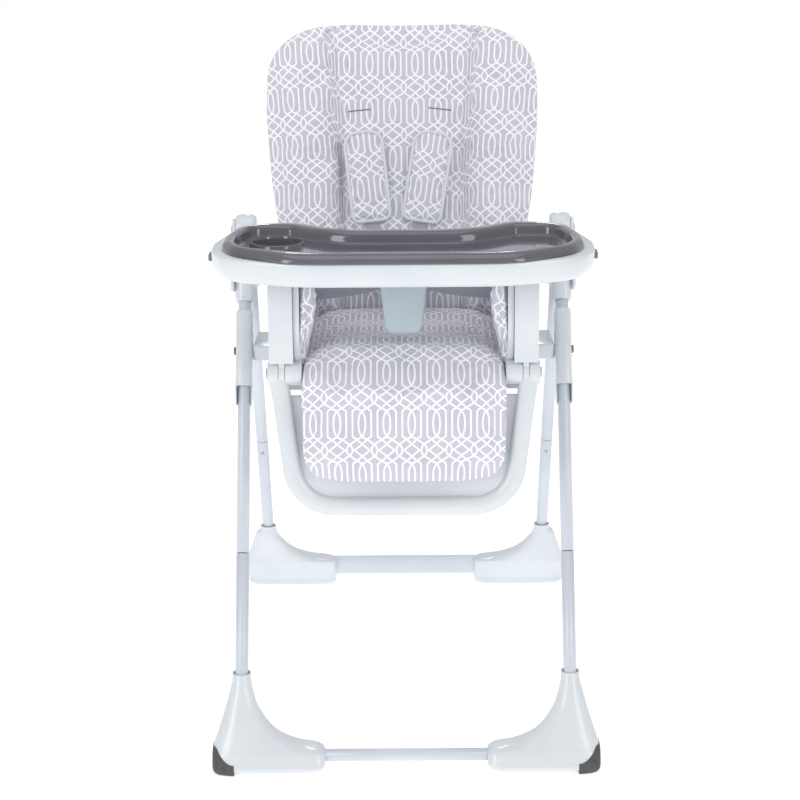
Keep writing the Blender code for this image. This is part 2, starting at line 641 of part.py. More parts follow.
def slider(name, side, frame):
    """The height slider on the front tube: a sleeve with a skirt, a bracket to the seat, and its button."""
    y = -LEG_OFFSET
    half_x, half_y = SLIDER_HALF
    rows = ((SLIDER_TOP, -0.0008, -0.0008), (SLIDER_TOP + 0.004, 0.0, 0.0), (0.235, 0.0, 0.0015),
            (0.262, 0.0010, 0.0025), (SLIDER_END, 0.0, 0.0010))
    sections = [oval((0.0, y), (half_x + dx, half_y + dy), -r, 3.2) for r, dx, dy in rows]
    sleeve = loft(f"slider_{name}", sections, WHITE, frame)
    root_x = pair(side, ARM_X[1] + 0.006, LEG_X - 0.006)
    low = (root_x[0], BRACKET_Y[0] + 0.004, BRACKET_Z[0] + 0.004)
    high = (root_x[1], leg_y(BRACKET_Z[0], -1) + 0.012, BRACKET_Z[1] - 0.004)
    root = box(f"bracket_root_{name}", low, high, None)
    low = (pair(side, ARM_X[1] + GAP, LEG_X - TUBE_R - 0.0045)[0], BRACKET_Y[0], BRACKET_Z[0])
    high = (pair(side, ARM_X[1] + GAP, LEG_X - TUBE_R - 0.0045)[1], BRACKET_Y[1], BRACKET_Z[1])
    bracket = box(f"bracket_{name}", low, high, None, edge=0.002)
    join(sleeve, root, bracket)
    bore = tube_bore(f"slider_bore_{name}", frame, -1, SLIDER_TOP - 0.01, SLIDER_END + 0.01, RUNNING)
    skirt_low = (-TUBE_R - 0.0012, y - 0.03, -SLIDER_END - 0.01)
    skirt_high = (TUBE_R + 0.0012, y, -0.258)
    mouth = box(f"slider_mouth_{name}", skirt_low, skirt_high, None, frame)
    height_recess = cylinder(f"height_recess_{name}", HEIGHT_BUTTON_R + RUNNING,
                             pair(side, 0.004, half_x + 0.02),
                             (0.0, y, HEIGHT_BUTTON_AT), None, frame)
    cut(sleeve, bore, mouth, height_recess)
    cylinder(f"height_button_{name}", HEIGHT_BUTTON_R, pair(side, half_x - 0.0004, half_x + 0.0032),
             (0.0, y, HEIGHT_BUTTON_AT), GREY, frame, edge=0.0008)


# --- Seat -------------------------------------------------------------------------------------
def seat_base():
    """A flat pan with ears at its rear corners for the backrest's pivots."""
    half = [(BASE_HALF, BASE_Y[0], 0.012), (BASE_HALF, 0.030, 0.020), (EAR_X[1] + 0.004, BASE_Y[1], 0.010)]
    pan = plate("seat_base", rounded(mirrored(half)), BASE_Z, "XY", WHITE, edge=0.003)
    for name, side in SIDES:
        outline = rounded([(RECLINE_Y - 0.015, BASE_Z[0] + 0.004, 0),
                           (RECLINE_Y + 0.014, BASE_Z[0] + 0.004, 0),
                           (RECLINE_Y + 0.014, RECLINE_Z + 0.013, 0.0125),
                           (RECLINE_Y - 0.015, RECLINE_Z + 0.013, 0.0125)])
        join(pan, plate(f"ear_{name}", outline, pair(side, *EAR_X), "YZ", None))
        cut(pan, cylinder(f"ear_hole_{name}", AXLE_R + GAP, pair(side, EAR_X[0] - 0.01, EAR_X[1] + 0.01),
                          (0, RECLINE_Y, RECLINE_Z), None, sides=SMALL_ROUND))


def seat_arm(name, side):
    """An armrest moulding: front column, top rail and rear post round a thin web, with a hinge tongue."""
    rear = ARM_FRONT + COLUMN_D
    outline = rounded([(ARM_FRONT, KNEE_Z + KNEE_R + RUNNING, 0.002), (ARM_FRONT, ARM_TOP, 0.010),
                       (ARM_REAR, ARM_TOP, 0.012), (ARM_REAR - 0.018, BASE_Z[1] + GAP, 0.006),
                       (rear, BASE_Z[1] + GAP, 0.0), (rear, KNEE_Z + KNEE_R + RUNNING, 0.0)])
    arm = plate(f"seat_arm_{name}", outline, pair(side, *ARM_X), "YZ", WHITE, edge=0.003)
    inner = rounded([(rear + 0.002, SEAT_TOP, 0.012), (rear + 0.002, ARM_TOP - 0.028, 0.012),
                     (ARM_REAR - 0.030, ARM_TOP - 0.028, 0.012), (ARM_REAR - 0.042, BASE_Z[1] + 0.024, 0.012),
                     (rear + 0.030, BASE_Z[1] + 0.024, 0.012)])
    inside = plate(f"pocket_in_{name}", inner, pair(side, ARM_X[0] - 0.01, ARM_WEB[0]), "YZ", None)
    outside = plate(f"pocket_out_{name}", inner, pair(side, ARM_WEB[1], ARM_X[1] + 0.01), "YZ", None)
    cut(arm, inside, outside)
    tongue_span = pair(side, TONGUE_X[0] + GAP, TONGUE_X[1] - GAP)
    eye = cylinder(f"arm_eye_{name}", KNEE_R - 0.0012, tongue_span, (0, KNEE_Y, KNEE_Z), None)
    low = (tongue_span[0], KNEE_Y - 0.012, KNEE_Z)
    high = (tongue_span[1], KNEE_Y + 0.012, KNEE_Z + KNEE_R + 0.006)
    join(arm, eye, box(f"arm_neck_{name}", low, high, None))
    cut(arm, cylinder(f"arm_pin_hole_{name}", 0.0040 + GAP, pair(side, ARM_X[0] - 0.015, ARM_X[1] + 0.009),
                      (0, KNEE_Y, KNEE_Z), None,
                      sides=SMALL_ROUND))


def seat_fabric():
    """The seat cushion and the two padded sides that stand against the armrests."""
    outline = rounded([(SEAT_PAD_Y[0], BASE_Z[1] + 0.002, 0.010), (SEAT_PAD_Y[0], SEAT_TOP, 0.022),
                       (SEAT_PAD_Y[1], SEAT_TOP, 0.008), (SEAT_PAD_Y[1] - 0.012, BASE_Z[1] + 0.002, 0.004)])
    plate("seat_pad", outline, (-SEAT_PAD_HALF, SEAT_PAD_HALF), "YZ", FABRIC, edge=0.004)
    for name, side in SIDES:
        behind_knee = KNEE_Y + KNEE_R + 0.006
        wing = rounded([(ARM_FRONT + 0.010, KNEE_Z + 0.024, 0.004),
                        (ARM_FRONT + 0.006, ARM_TOP - 0.0295, 0.020),
                        (0.020, ARM_TOP - 0.0295, 0.020), (-0.004, BASE_Z[1] + 0.002, 0.010),
                        (behind_knee, BASE_Z[1] + 0.002, 0.004), (behind_knee, KNEE_Z + 0.024, 0.0)])
        plate(f"side_wing_{name}", wing, pair(side, *WING_X), "YZ", FABRIC, edge=0.003)


def harness():
    """The strap between the legs, the buckle, and the waist straps."""
    buckle_y = -0.030
    box("crotch_strap", (-STRAP_W / 2, buckle_y - STRAP_T / 2, SEAT_TOP + 0.0006),
        (STRAP_W / 2, buckle_y + STRAP_T / 2, SEAT_TOP + 0.0425), WEBBING)
    box("buckle", (-0.022, buckle_y - 0.007, SEAT_TOP + 0.043), (0.022, buckle_y + 0.007, SEAT_TOP + 0.085),
        GREY, edge=0.003)
    for name, side in SIDES:
        low = (pair(side, 0.0225, WING_X[0] - 0.001)[0], buckle_y - STRAP_T / 2, SEAT_TOP + 0.048)
        high = (pair(side, 0.0225, WING_X[0] - 0.001)[1], buckle_y + STRAP_T / 2, SEAT_TOP + 0.048 + STRAP_W)
        box(f"waist_strap_{name}", low, high, WEBBING)


# --- Footrest ---------------------------------------------------------------------------------
def footrest_outline(inset, top):
    """A U that narrows downward, with large lower corners, drawn in the footrest's own plane."""
    corner = FOOTREST_CORNER - inset
    half = [(FOOTREST_LOW_HALF - inset, -FOOTREST_LEN + inset, corner), (FOOTREST_TOP_HALF - inset, top, 0.0)]
    return rounded(mirrored(half), steps=7)


def footrest():
    axis = axis_empty("footrest_axis", (0.0, KNEE_Y, KNEE_Z), -FOOTREST_LEAN)
    rail = plate("footrest_frame", footrest_outline(0.0, -KNEE_R * 0.4), (-RAIL_D / 2, RAIL_D / 2), "XZ",
                 WHITE,
                 axis, edge=0.007)
    window = footrest_outline(RAIL_W, 0.05)
    cut(rail, plate("rail_window", window, (-0.05, 0.05), "XZ", None, axis))
    panel = plate("footrest_panel", footrest_outline(RAIL_W - 0.004, PANEL_TOP), (0.004, 0.0085), "XZ", None,
                  axis)
    join(rail, panel)
    for name, side in SIDES:
        knuckle = cylinder(f"knuckle_{name}", KNEE_R, pair(side, KNEE_X[0], KNEE_X[1]), (0, 0, 0), None, axis,
                           edge=0.002)
        join(rail, knuckle)
    for name, side in SIDES:
        slot = cylinder(f"knuckle_slot_{name}", KNEE_R + 0.0030, pair(side, *TONGUE_X), (0, 0, 0), None, axis)
        hole = cylinder(f"knuckle_hole_{name}", 0.0040 + GAP,
                        pair(side, KNEE_X[0] + 0.004, KNEE_X[1] + 0.016), (0, 0, 0), None,
                        axis, sides=SMALL_ROUND)
        cut(rail, slot, hole)
        pin = cylinder(f"knee_pin_{name}", 0.0040, pair(side, KNEE_X[0] + 0.0045, KNEE_X[1] + 0.001),
                       (0, 0, 0),
                       STEEL, axis, sides=SMALL_ROUND)
        join(pin, cylinder(f"knee_pin_head_{name}", 0.0080, pair(side, KNEE_X[1] + GAP, KNEE_X[1] + 0.0025),
                           (0, 0, 0), None, axis, sides=SMALL_ROUND))
    half = [(CALF_HALF - 0.004, -CALF_LEN, 0.036), (CALF_HALF, -0.020, 0.010)]
    plate("calf_pad", rounded(mirrored(half)), (-0.034, -RAIL_D / 2 + 0.004), "XZ", FABRIC, axis, edge=0.005)


# --- Backrest ---------------------------------------------------------------------------------
def back_outline(inset):
    """The backrest's outline: narrow at the seat, widest at the shoulders, with a broad flat top."""
    half = [(BACK_LOW_HALF - inset, 0.012 + inset, 0.030),
            (BACK_WAIST[0] - inset, BACK_WAIST[1], 0.200),
            (BACK_WIDE[0] - inset, BACK_WIDE[1], 0.150),
            (BACK_WIDE[0] - 0.012 - inset, BACK_TOP - inset, BACK_CORNER - inset)]
    return rounded(mirrored(half))


def backrest():
    axis = axis_empty("recline_axis", (0.0, RECLINE_Y, RECLINE_Z), -BACK_LEAN)
    front = PAD_BACK + GAP
    shell = plate("back_shell", back_outline(0.007), (front, front + SHELL_T), "XZ", WHITE, axis, edge=0.002)
    hollow = plate("shell_hollow", back_outline(0.012), (front + SHELL_WALL, 0.05), "XZ", None, axis)
    cut(shell, hollow)
    for name, side in SIDES:
        outline = rounded([(front + 0.002, 0.045, 0.0), (front + 0.002, -0.011, 0.004),
                           (0.010, -0.011, 0.010),
                           (0.010, 0.020, 0.010)])
        lug = plate(f"lug_{name}", outline, pair(side, *LUG_X), "YZ", None, axis)
        pin = cylinder(f"lug_pin_{name}", AXLE_R, pair(side, LUG_X[0] + 0.004, EAR_X[1] - 0.001), (0, 0, 0),
                       None,
                       axis, sides=SMALL_ROUND)
        join(shell, lug, pin)
    plate("back_pad", back_outline(0.0), (PAD_FRONT, PAD_BACK), "XZ", FABRIC, axis, edge=0.006)
    for name, side in SIDES:
        low = (side * 0.050 - STRAP_W / 2, PAD_FRONT - 0.0010 - STRAP_T, 0.110)
        high = (side * 0.050 + STRAP_W / 2, PAD_FRONT - 0.0010, 0.330)
        box(f"shoulder_strap_{name}", low, high, WEBBING, axis, turn_y=side * math.radians(7.0))
        front_y = PAD_FRONT - 0.0014 - STRAP_T
        low = (side * 0.050 - 0.026, front_y - 0.0110, 0.140)
        high = (side * 0.050 + 0.026, front_y, 0.295)
        box(f"shoulder_pad_{name}", low, high, FABRIC, axis, edge=0.004, turn_y=side * math.radians(7.0))
    recline_handle(shell, axis, front + SHELL_WALL)


def recline_handle(shell, axis, inner):
    """A squeeze handle behind the back, between two guides moulded on the shell."""
    for name, side in SIDES:
        guide = box(f"handle_guide_{name}", (pair(side, HANDLE_HALF + RUNNING, HANDLE_HALF + 0.009)[0],
                                             inner - 0.001, 0.270),
                    (pair(side, HANDLE_HALF + RUNNING, HANDLE_HALF + 0.009)[1], inner + 0.016, 0.325), None,
                    axis)
        join(shell, guide)
    box("recline_handle", (-HANDLE_HALF, inner + RUNNING, 0.280), (HANDLE_HALF, inner + 0.018, 0.306), GREY,
        axis,
        edge=0.003)


# --- Tray -------------------------------------------------------------------------------------
def tray_outline(inset):
    """The tray from above: a bowed front, round ends, and a hollow at the back for the sitter."""
    side = TRAY_HALF - 0.024 - inset
    half = [(TRAY_HALF - 0.136, TRAY_FRONT + inset, 0.200),
            (side, TRAY_FRONT + 0.042 + inset, 0.075 - inset * 0.4),
            (TRAY_HALF - inset, LATCH_Y[0] - 0.014, 0.050),
            (TRAY_HALF - inset, LATCH_Y[1] + 0.014, 0.050),
            (side, TRAY_REAR - inset, 0.065 - inset * 0.4),
            (TRAY_HALF - 0.128 + inset * 0.5, TRAY_REAR - inset, 0.050),
            (TRAY_HALF - 0.191, BELLY - inset, 0.110)]
    return rounded(mirrored(half), steps=4)


def tray():
    base = plate("tray_base", tray_outline(0.0), TRAY_Z, "XY", WHITE, edge=0.003)
    hollow = plate("tray_hollow", tray_outline(TRAY_WALL), (TRAY_Z[0] - 0.01, TRAY_Z[1] - 0.0165), "XY", None)
    well = plate("tray_well", tray_outline(RIM_W - 0.010), (TRAY_Z[1] - 0.0135, TRAY_Z[1] + 0.01), "XY", None)
    cup_hole = cylinder("cup_clearance", CUP_R + 0.003, (TRAY_Z[0] - 0.03, RIM_TOP + 0.02),
                        (CUP_AT[0], CUP_AT[1], 0), None, axis="Z")
    cut(base, hollow, well, cup_hole)
    top = plate("tray_top", tray_outline(0.0), (TRAY_Z[1] + GAP, RIM_TOP), "XY", GREY, edge=0.004)
    under = plate("tray_plug", tray_outline(RIM_W - 0.009), (TRAY_Z[1] - 0.0130, RIM_TOP - 0.003), "XY", None)
    cup_wall = cylinder("cup_wall", CUP_R, (CUP_Z - 0.0025, RIM_TOP - 0.006), (CUP_AT[0], CUP_AT[1], 0), None,
                        axis="Z")
    join(top, under, cup_wall)
    basin = plate("tray_basin", tray_outline(RIM_W), (BASIN_Z, RIM_TOP + 0.01), "XY", None)
    cup = cylinder("cup_recess", CUP_R - 0.0030, (CUP_Z, RIM_TOP + 0.02), (CUP_AT[0], CUP_AT[1], 0), None,
                   axis="Z")
    cut(top, basin, cup)
    outline = rounded([(-POST_LOW_HALF, POST_Z, 0.010), (POST_LOW_HALF, POST_Z, 0.010),
                       (POST_TOP_HALF, TRAY_Z[1] - 0.0165 - GAP, 0.0),
                       (-POST_TOP_HALF, TRAY_Z[1] - 0.0165 - GAP, 0.0)])
    plate("crotch_post", outline, POST_Y, "XZ", WHITE, edge=0.004)
    for name, side in SIDES:
        depth = TRAY_HALF - LATCH_TRAVEL - 0.003
        span = pair(side, depth, LATCH_OUT)
        box(f"tray_latch_{name}", (span[0], LATCH_Y[0], LATCH_Z[0]), (span[1], LATCH_Y[1], LATCH_Z[1]), GREY,
            edge=0.0012)
        span = pair(side, depth - LATCH_TRAVEL - GAP, LATCH_OUT + 0.01)
        pocket = box(f"latch_pocket_{name}", (span[0], LATCH_Y[0] - RUNNING, LATCH_Z[0] - RUNNING),
                     (span[1], LATCH_Y[1] + RUNNING, LATCH_Z[1] + RUNNING), None)
        cut(base, pocket)


a_frame()
seat_base()
for side_name, side_sign in SIDES:
    seat_arm(side_name, side_sign)
seat_fabric()
harness()
footrest()
backrest()
tray()
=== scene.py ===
# %% [markdown]
# # A baby high chair, in its looks
# The engineering model gives every piece's place, size and motion. This file gives the chair the surfaces
# a person sees: glossy moulded plastic, powder-coated tubes, a dark tray, and padded cloth with a printed
# trellis. New pieces are surfaces worked out with numpy from a few lengths, and the places come from the
# frame.

import json

import bpy
import numpy as np
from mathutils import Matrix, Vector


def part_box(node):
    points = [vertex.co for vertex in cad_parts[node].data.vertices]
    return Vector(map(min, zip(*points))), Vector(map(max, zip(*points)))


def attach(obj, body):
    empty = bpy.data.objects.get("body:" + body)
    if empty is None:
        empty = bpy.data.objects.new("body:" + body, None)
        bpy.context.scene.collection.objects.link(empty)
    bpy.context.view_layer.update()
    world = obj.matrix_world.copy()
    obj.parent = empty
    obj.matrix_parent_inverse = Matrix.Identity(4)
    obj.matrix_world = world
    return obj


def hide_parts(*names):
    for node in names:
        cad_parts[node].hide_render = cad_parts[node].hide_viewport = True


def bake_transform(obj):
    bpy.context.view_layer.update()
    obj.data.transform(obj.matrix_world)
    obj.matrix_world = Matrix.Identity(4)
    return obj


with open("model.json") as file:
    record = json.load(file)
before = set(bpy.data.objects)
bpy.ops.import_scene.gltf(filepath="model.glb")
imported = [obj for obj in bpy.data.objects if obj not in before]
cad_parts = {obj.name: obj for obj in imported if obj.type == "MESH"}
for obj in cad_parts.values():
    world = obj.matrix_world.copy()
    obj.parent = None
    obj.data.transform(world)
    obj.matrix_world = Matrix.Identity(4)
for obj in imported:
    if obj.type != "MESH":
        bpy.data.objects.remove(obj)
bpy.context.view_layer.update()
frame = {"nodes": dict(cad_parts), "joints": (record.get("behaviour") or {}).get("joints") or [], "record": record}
JOINTS = {joint["name"]: joint for joint in frame["joints"]}
SIDES = (("left", -1.0), ("right", 1.0))

# %% [markdown]
# The chair's own lines come first, because most pieces hang on them. The legs are two straight lines that
# lean the same way fore and aft from the fold pivot. The seat height slider runs down the front one, so its
# joint's axis is the direction of the leg, and the tubes' boxes give how far they stand to the side.

# %% The legs' lines
HUB = np.array(JOINTS["fold"]["pos_m"])
LEG_DOWN = np.array(JOINTS["seat_height"]["axis"])
LEG_DOWN = LEG_DOWN / np.linalg.norm(LEG_DOWN)
TUBE_LOW, TUBE_HIGH = (np.array(corner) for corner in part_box("front_tube_upper_right"))
LEG_X = (TUBE_LOW[0] + TUBE_HIGH[0]) / 2
TUBE_R = (TUBE_HIGH[0] - TUBE_LOW[0]) / 2
LEG_OFFSET = 0.014
KNEE = np.array(JOINTS["footrest_raise"]["pos_m"])
RECLINE = np.array(JOINTS["recline"]["pos_m"])


def leg_line(side, lean):
    """Start and direction of a leg's axis: the pivot moved square to the leg by the tube's offset."""
    down = np.array([0.0, -lean * LEG_DOWN[1], LEG_DOWN[2]])
    across = np.array([0.0, lean * -LEG_DOWN[2], -LEG_DOWN[1]])
    return HUB + np.array([side * LEG_X, 0.0, 0.0]) + LEG_OFFSET * across, down


print(f"legs at {LEG_X * 1000:.0f} mm, tubes {TUBE_R * 2000:.0f} mm across")

# %% [markdown]
# The camera stands in front of the chair, a little above the tray, and looks down by about sixteen degrees.
# A long lens from over three metres keeps the legs nearly parallel, as a product shot does.

# %% Camera
CAMERA_PLACE = (0.0, -3.295, 1.416)
CAMERA_DOWN = 16.1
CAMERA_ROLL = 0.4
SENSOR_MM, LENS_MM = 36.0, 94.5
camera = bpy.data.objects.new("camera", bpy.data.cameras.new("camera"))
bpy.context.scene.collection.objects.link(camera)
camera.location = CAMERA_PLACE
camera.rotation_euler = (np.radians(90.0 - CAMERA_DOWN), np.radians(CAMERA_ROLL), 0.0)
camera.data.sensor_width = SENSOR_MM
camera.data.lens = LENS_MM
bpy.context.scene.camera = camera
print("camera looks down", CAMERA_DOWN, "degrees")

# %% [markdown]
# The light is that of a white studio: two tall soft boxes in front, left and right, which draw long pale
# bands in the gloss, a broad one overhead, two small strips behind that draw short lights on the tray's rim,
# and a white world that fills the shadows.

# %% Lights


def soft_light(name, place, aim, size, power):
    """A rectangular area light turned from its place toward a point."""
    light = bpy.data.lights.new(name, "AREA")
    light.shape = "RECTANGLE"
    light.size, light.size_y = size
    light.energy = power
    obj = bpy.data.objects.new(name, light)
    bpy.context.scene.collection.objects.link(obj)
    obj.location = place
    direction = np.array(aim) - np.array(place)
    flat = np.hypot(direction[0], direction[1])
    obj.rotation_euler = (np.arctan2(flat, -direction[2]), 0.0,
                          np.arctan2(direction[1], direction[0]) - np.pi / 2)
    return obj


soft_light("box_left", (-1.9, -2.3, 1.75), (0.0, 0.0, 0.62), (0.8, 1.7), 18.0)
soft_light("box_right", (1.9, -2.3, 1.75), (0.0, 0.0, 0.62), (0.8, 1.7), 14.0)
soft_light("box_top", (0.0, -0.2, 3.2), (0.0, 0.0, 0.6), (2.2, 2.2), 14.0)
for strip, x, width, power in (("strip_left", -0.37, 0.20, 3.0), ("strip_right", 0.29, 0.28, 4.2)):
    soft_light(strip, (x, 3.0, 2.3), (0.0, -0.2, 0.77), (width, 0.32), power).visible_camera = False

# %% [markdown]
# A white studio is brighter behind the object than around it. The world is pure white where it is seen
# directly and dimmer where it lights the chair, so that the white mouldings still stand out from it. The
# floor is a pale disc, which keeps only the soft shadows under the feet.

# %% World and floor
WORLD_SEEN, WORLD_LIGHT = 1.0, 0.60
world = bpy.data.worlds.new("white_studio")
world.use_nodes = True
background = world.node_tree.nodes["Background"]
background.inputs["Color"].default_value = (1.0, 1.0, 1.0, 1.0)
seen = world.node_tree.nodes.new("ShaderNodeLightPath").outputs["Is Camera Ray"]
strength = world.node_tree.nodes.new("ShaderNodeMapRange")
strength.inputs["To Min"].default_value, strength.inputs["To Max"].default_value = WORLD_LIGHT, WORLD_SEEN
world.node_tree.links.new(seen, strength.inputs["Value"])
world.node_tree.links.new(strength.outputs["Result"], background.inputs["Strength"])
bpy.context.scene.world = world
bpy.context.scene.view_settings.view_transform = "Standard"

FLOOR_R, FLOOR_Z, FLOOR_SIDES = 6.0, -0.0005, 96
floor_mesh = bpy.data.meshes.new("floor")
rim = np.linspace(0.0, 2.0 * np.pi, FLOOR_SIDES, endpoint=False)
floor_points = np.stack([FLOOR_R * np.cos(rim), FLOOR_R * np.sin(rim), np.full(FLOOR_SIDES, FLOOR_Z)], -1)
floor_mesh.from_pydata(floor_points.tolist(), [], [list(range(FLOOR_SIDES))])
floor = bpy.data.objects.new("floor", floor_mesh)
bpy.context.scene.collection.objects.link(floor)
paper = bpy.data.materials.new("white_backdrop_paper")
paper.use_nodes = True
paper_shader = paper.node_tree.nodes["Principled BSDF"]
paper_shader.inputs["Base Color"].default_value = (0.9, 0.9, 0.9, 1.0)
paper_shader.inputs["Roughness"].default_value = 0.9
paper_shader.inputs["Emission Color"].default_value = (1.0, 1.0, 1.0, 1.0)
paper_shader.inputs["Emission Strength"].default_value = 0.50
floor_mesh.materials.append(paper)
print("white studio with a floor", 2 * FLOOR_R, "m across")

# %% [markdown]
# Each finish is one function that makes a material. Two small helpers do the common work: one turns an
# sRGB hex colour to the linear values Blender wants, the other adds a shader node with its settings and
# links.

# %% Helpers for materials


def linear(hex_colour):
    """An sRGB hex colour as linear RGBA: c/12.92 for a channel c, or ((c+0.055)/1.055)^2.4 above 0.04045."""
    channels = np.array([int(hex_colour[i:i + 2], 16) for i in (1, 3, 5)]) / 255.0
    low, high = channels / 12.92, ((channels + 0.055) / 1.055) ** 2.4
    return (*(float(value) for value in np.where(channels > 0.04045, high, low)), 1.0)


def add_node(tree, kind, inputs=(), **settings):
    """A shader node with its settings, and its inputs given as a value or as the socket that feeds them."""
    node = tree.nodes.new(kind)
    for name, value in settings.items():
        setattr(node, name, value)
    for key, value in dict(inputs).items():
        if isinstance(value, bpy.types.NodeSocket):
            tree.links.new(value, node.inputs[key])
        else:
            node.inputs[key].default_value = value
    return node


def new_finish(name, hex_colour, roughness, **sockets):
    """A material with a Principled shader, its constants set on the shader's own sockets."""
    material = bpy.data.materials.new(name)
    material.use_nodes = True
    shader = material.node_tree.nodes["Principled BSDF"]
    shader.inputs["Base Color"].default_value = linear(hex_colour)
    shader.inputs["Roughness"].default_value = roughness
    for key, value in sockets.items():
        shader.inputs[key.replace("_", " ")].default_value = value
    return material, material.node_tree, shader


def noise_at(tree, size_mm, detail=2.0, coordinate="Object"):
    """A noise pattern whose grains are about this size, read from the piece's own coordinates."""
    where = add_node(tree, "ShaderNodeTexCoord").outputs[coordinate]
    return add_node(tree, "ShaderNodeTexNoise",
                    {"Vector": where, "Scale": 1000.0 / size_mm, "Detail": detail}).outputs["Fac"]


def between(tree, factor, low, high):
    """A value that runs from low to high as the factor runs from 0.3 to 0.7, the span noise really covers."""
    sockets = {"Value": factor, "From Min": 0.3, "From Max": 0.7, "To Min": low, "To Max": high}
    return add_node(tree, "ShaderNodeMapRange", sockets).outputs["Result"]


def tinted(tree, factor, first, second):
    """A colour between two hex colours."""
    mix = add_node(tree, "ShaderNodeMix", {"Factor": factor}, data_type="RGBA")
    mix.inputs[6].default_value, mix.inputs[7].default_value = linear(first), linear(second)
    return mix.outputs[2]


def bumped(tree, height, depth_mm, strength, after=None):
    """A Bump node that stands up by a real depth."""
    sockets = {"Height": height, "Distance": depth_mm / 1000.0, "Strength": strength}
    if after is not None:
        sockets["Normal"] = after
    return add_node(tree, "ShaderNodeBump", sockets).outputs["Normal"]


# %% [markdown]
# The hard parts are of five finishes. The white mouldings are polypropylene with a polished tool surface:
# nearly smooth, cool white, with faint flow marks and slight sink. The tray is the same polymer in a warm
# dark grey with more gloss. The tubes are powder coated, which leaves a fine orange peel. The caps on the
# front feet are a matt rubber, and the pins are zinc-plated steel.

# %% Hard finishes


def polished_polypropylene(name, first, second, roughness, coat):
    """Gloss moulding: two close tints in broad clouds, a roughness that wanders, and shallow sink marks."""
    material, tree, shader = new_finish(name, first, roughness, IOR=1.49, Coat_Weight=coat,
                                        Coat_Roughness=0.06)
    clouds = noise_at(tree, 90.0)
    tree.links.new(tinted(tree, between(tree, clouds, 0.0, 1.0), first, second), shader.inputs["Base Color"])
    grain = noise_at(tree, 3.0, 3.0)
    tree.links.new(between(tree, grain, roughness * 0.85, roughness * 1.2), shader.inputs["Roughness"])
    sink = bumped(tree, noise_at(tree, 45.0, 1.0), 0.25, 0.35)
    tree.links.new(bumped(tree, grain, 0.02, 0.25, sink), shader.inputs["Normal"])
    return material


def powder_coat():
    """Powder-coated steel: a silver-white with a little metal in it and orange peel 1.5 mm across."""
    material, tree, shader = new_finish("powder_coated_steel", "#D2D8E0", 0.34, Metallic=0.12)
    clouds = noise_at(tree, 120.0)
    tree.links.new(tinted(tree, between(tree, clouds, 0.0, 1.0), "#CAD1DA", "#D4DAE2"),
                   shader.inputs["Base Color"])
    peel = noise_at(tree, 1.5, 2.0)
    tree.links.new(between(tree, peel, 0.28, 0.42), shader.inputs["Roughness"])
    tree.links.new(bumped(tree, peel, 0.03, 0.4), shader.inputs["Normal"])
    return material


def moulded_rubber():
    """Rubber as it leaves the mould: matt, with a fine grain and scuffed lighter patches low down."""
    material, tree, shader = new_finish("moulded_rubber", "#47474A", 0.62, IOR=1.52)
    scuffs = noise_at(tree, 9.0, 5.0)
    tree.links.new(tinted(tree, between(tree, scuffs, 0.0, 1.0), "#3F3F42", "#5A5A5E"),
                   shader.inputs["Base Color"])
    tree.links.new(between(tree, scuffs, 0.5, 0.75), shader.inputs["Roughness"])
    tree.links.new(bumped(tree, noise_at(tree, 1.2), 0.06, 0.5), shader.inputs["Normal"])
    return material


def zinc_plate():
    """Zinc-plated steel: bright, with turning marks too fine to see one by one."""
    material, tree, shader = new_finish("zinc_plated_steel", "#B9BBBD", 0.3, Metallic=1.0)
    marks = noise_at(tree, 0.8, 3.0)
    tree.links.new(between(tree, marks, 0.22, 0.42), shader.inputs["Roughness"])
    tree.links.new(bumped(tree, marks, 0.02, 0.3), shader.inputs["Normal"])
    return material


WHITE = polished_polypropylene("white_polypropylene", "#DDE2E6", "#D6DCE1", 0.24, 0.25)
# The crotch post's finish is the blue-white of its plastic made darker: painted shade for the shade it hangs in
# under the tray.
POST_WHITE_PAINTED_SHADE = polished_polypropylene("blue_white_polypropylene_painted_shade", "#B2C0C8", "#ABB9C1", 0.34, 0.1)
# The footrest panel's finish is a lighter copy of the white moulding: painted light, which keeps the panel bright
# though it stands in shade.
PANEL_WHITE_PAINTED_LIGHT = polished_polypropylene("pale_blue_polypropylene_painted_light", "#F0F4F8", "#EAEFF4", 0.30, 0.15)
TRAY_GREY = polished_polypropylene("dark_grey_polypropylene", "#5A5862", "#64626C", 0.12, 0.6)
SATIN_GREY = polished_polypropylene("satin_grey_acetal", "#7B7B80", "#727277", 0.42, 0.0)
COATED = powder_coat()
RUBBER = moulded_rubber()
ZINC = zinc_plate()
print("hard finishes:", WHITE.name, TRAY_GREY.name, SATIN_GREY.name, COATED.name, RUBBER.name, ZINC.name)

# %% [markdown]
# The cloth is a plain-woven polyester with a white trellis printed on a grey ground. The repeat is one cell,
# 36.7 mm wide and 79.5 mm high, and it is the same mirrored left and right and top and bottom. So the print
# needs only a quarter of the cell, drawn as a few strokes: the pattern's coordinates are folded into that
# quarter, and the nearest stroke's distance decides between ink and ground. The strokes are a lens between
# two upright bars, and, between the rows of lenses, waves that cross into diamonds and small ovals.

# %% The trellis print
CELL_W, CELL_H = 0.0367, 0.0795
STROKE = 0.00134
QUARTER_H = CELL_H / CELL_W / 2
STROKES = (
    ((0.0, 0.247), (0.15, 0.13), (0.30, 0.01), (0.37, -0.04)),
    ((0.375, 0.0), (0.40, 0.10), (0.44, 0.175), (0.50, 0.240)),
    ((0.50, 0.240), (0.35, 0.345), (0.20, 0.445), (0.0, 0.560)),
    ((0.0, 0.247), (0.20, 0.445), (0.33, 0.525), (0.375, 0.590), (0.375, 1.10)),
    ((0.0, 0.560), (0.075, 0.68), (0.125, 0.84), (0.142, QUARTER_H + 0.02)),
)


def folded(tree, value, half):
    """A coordinate folded back and forth between 0 and half, as a mirror-symmetric repeat does."""
    return add_node(tree, "ShaderNodeMath", {0: value, 1: half}, operation="PINGPONG").outputs[0]


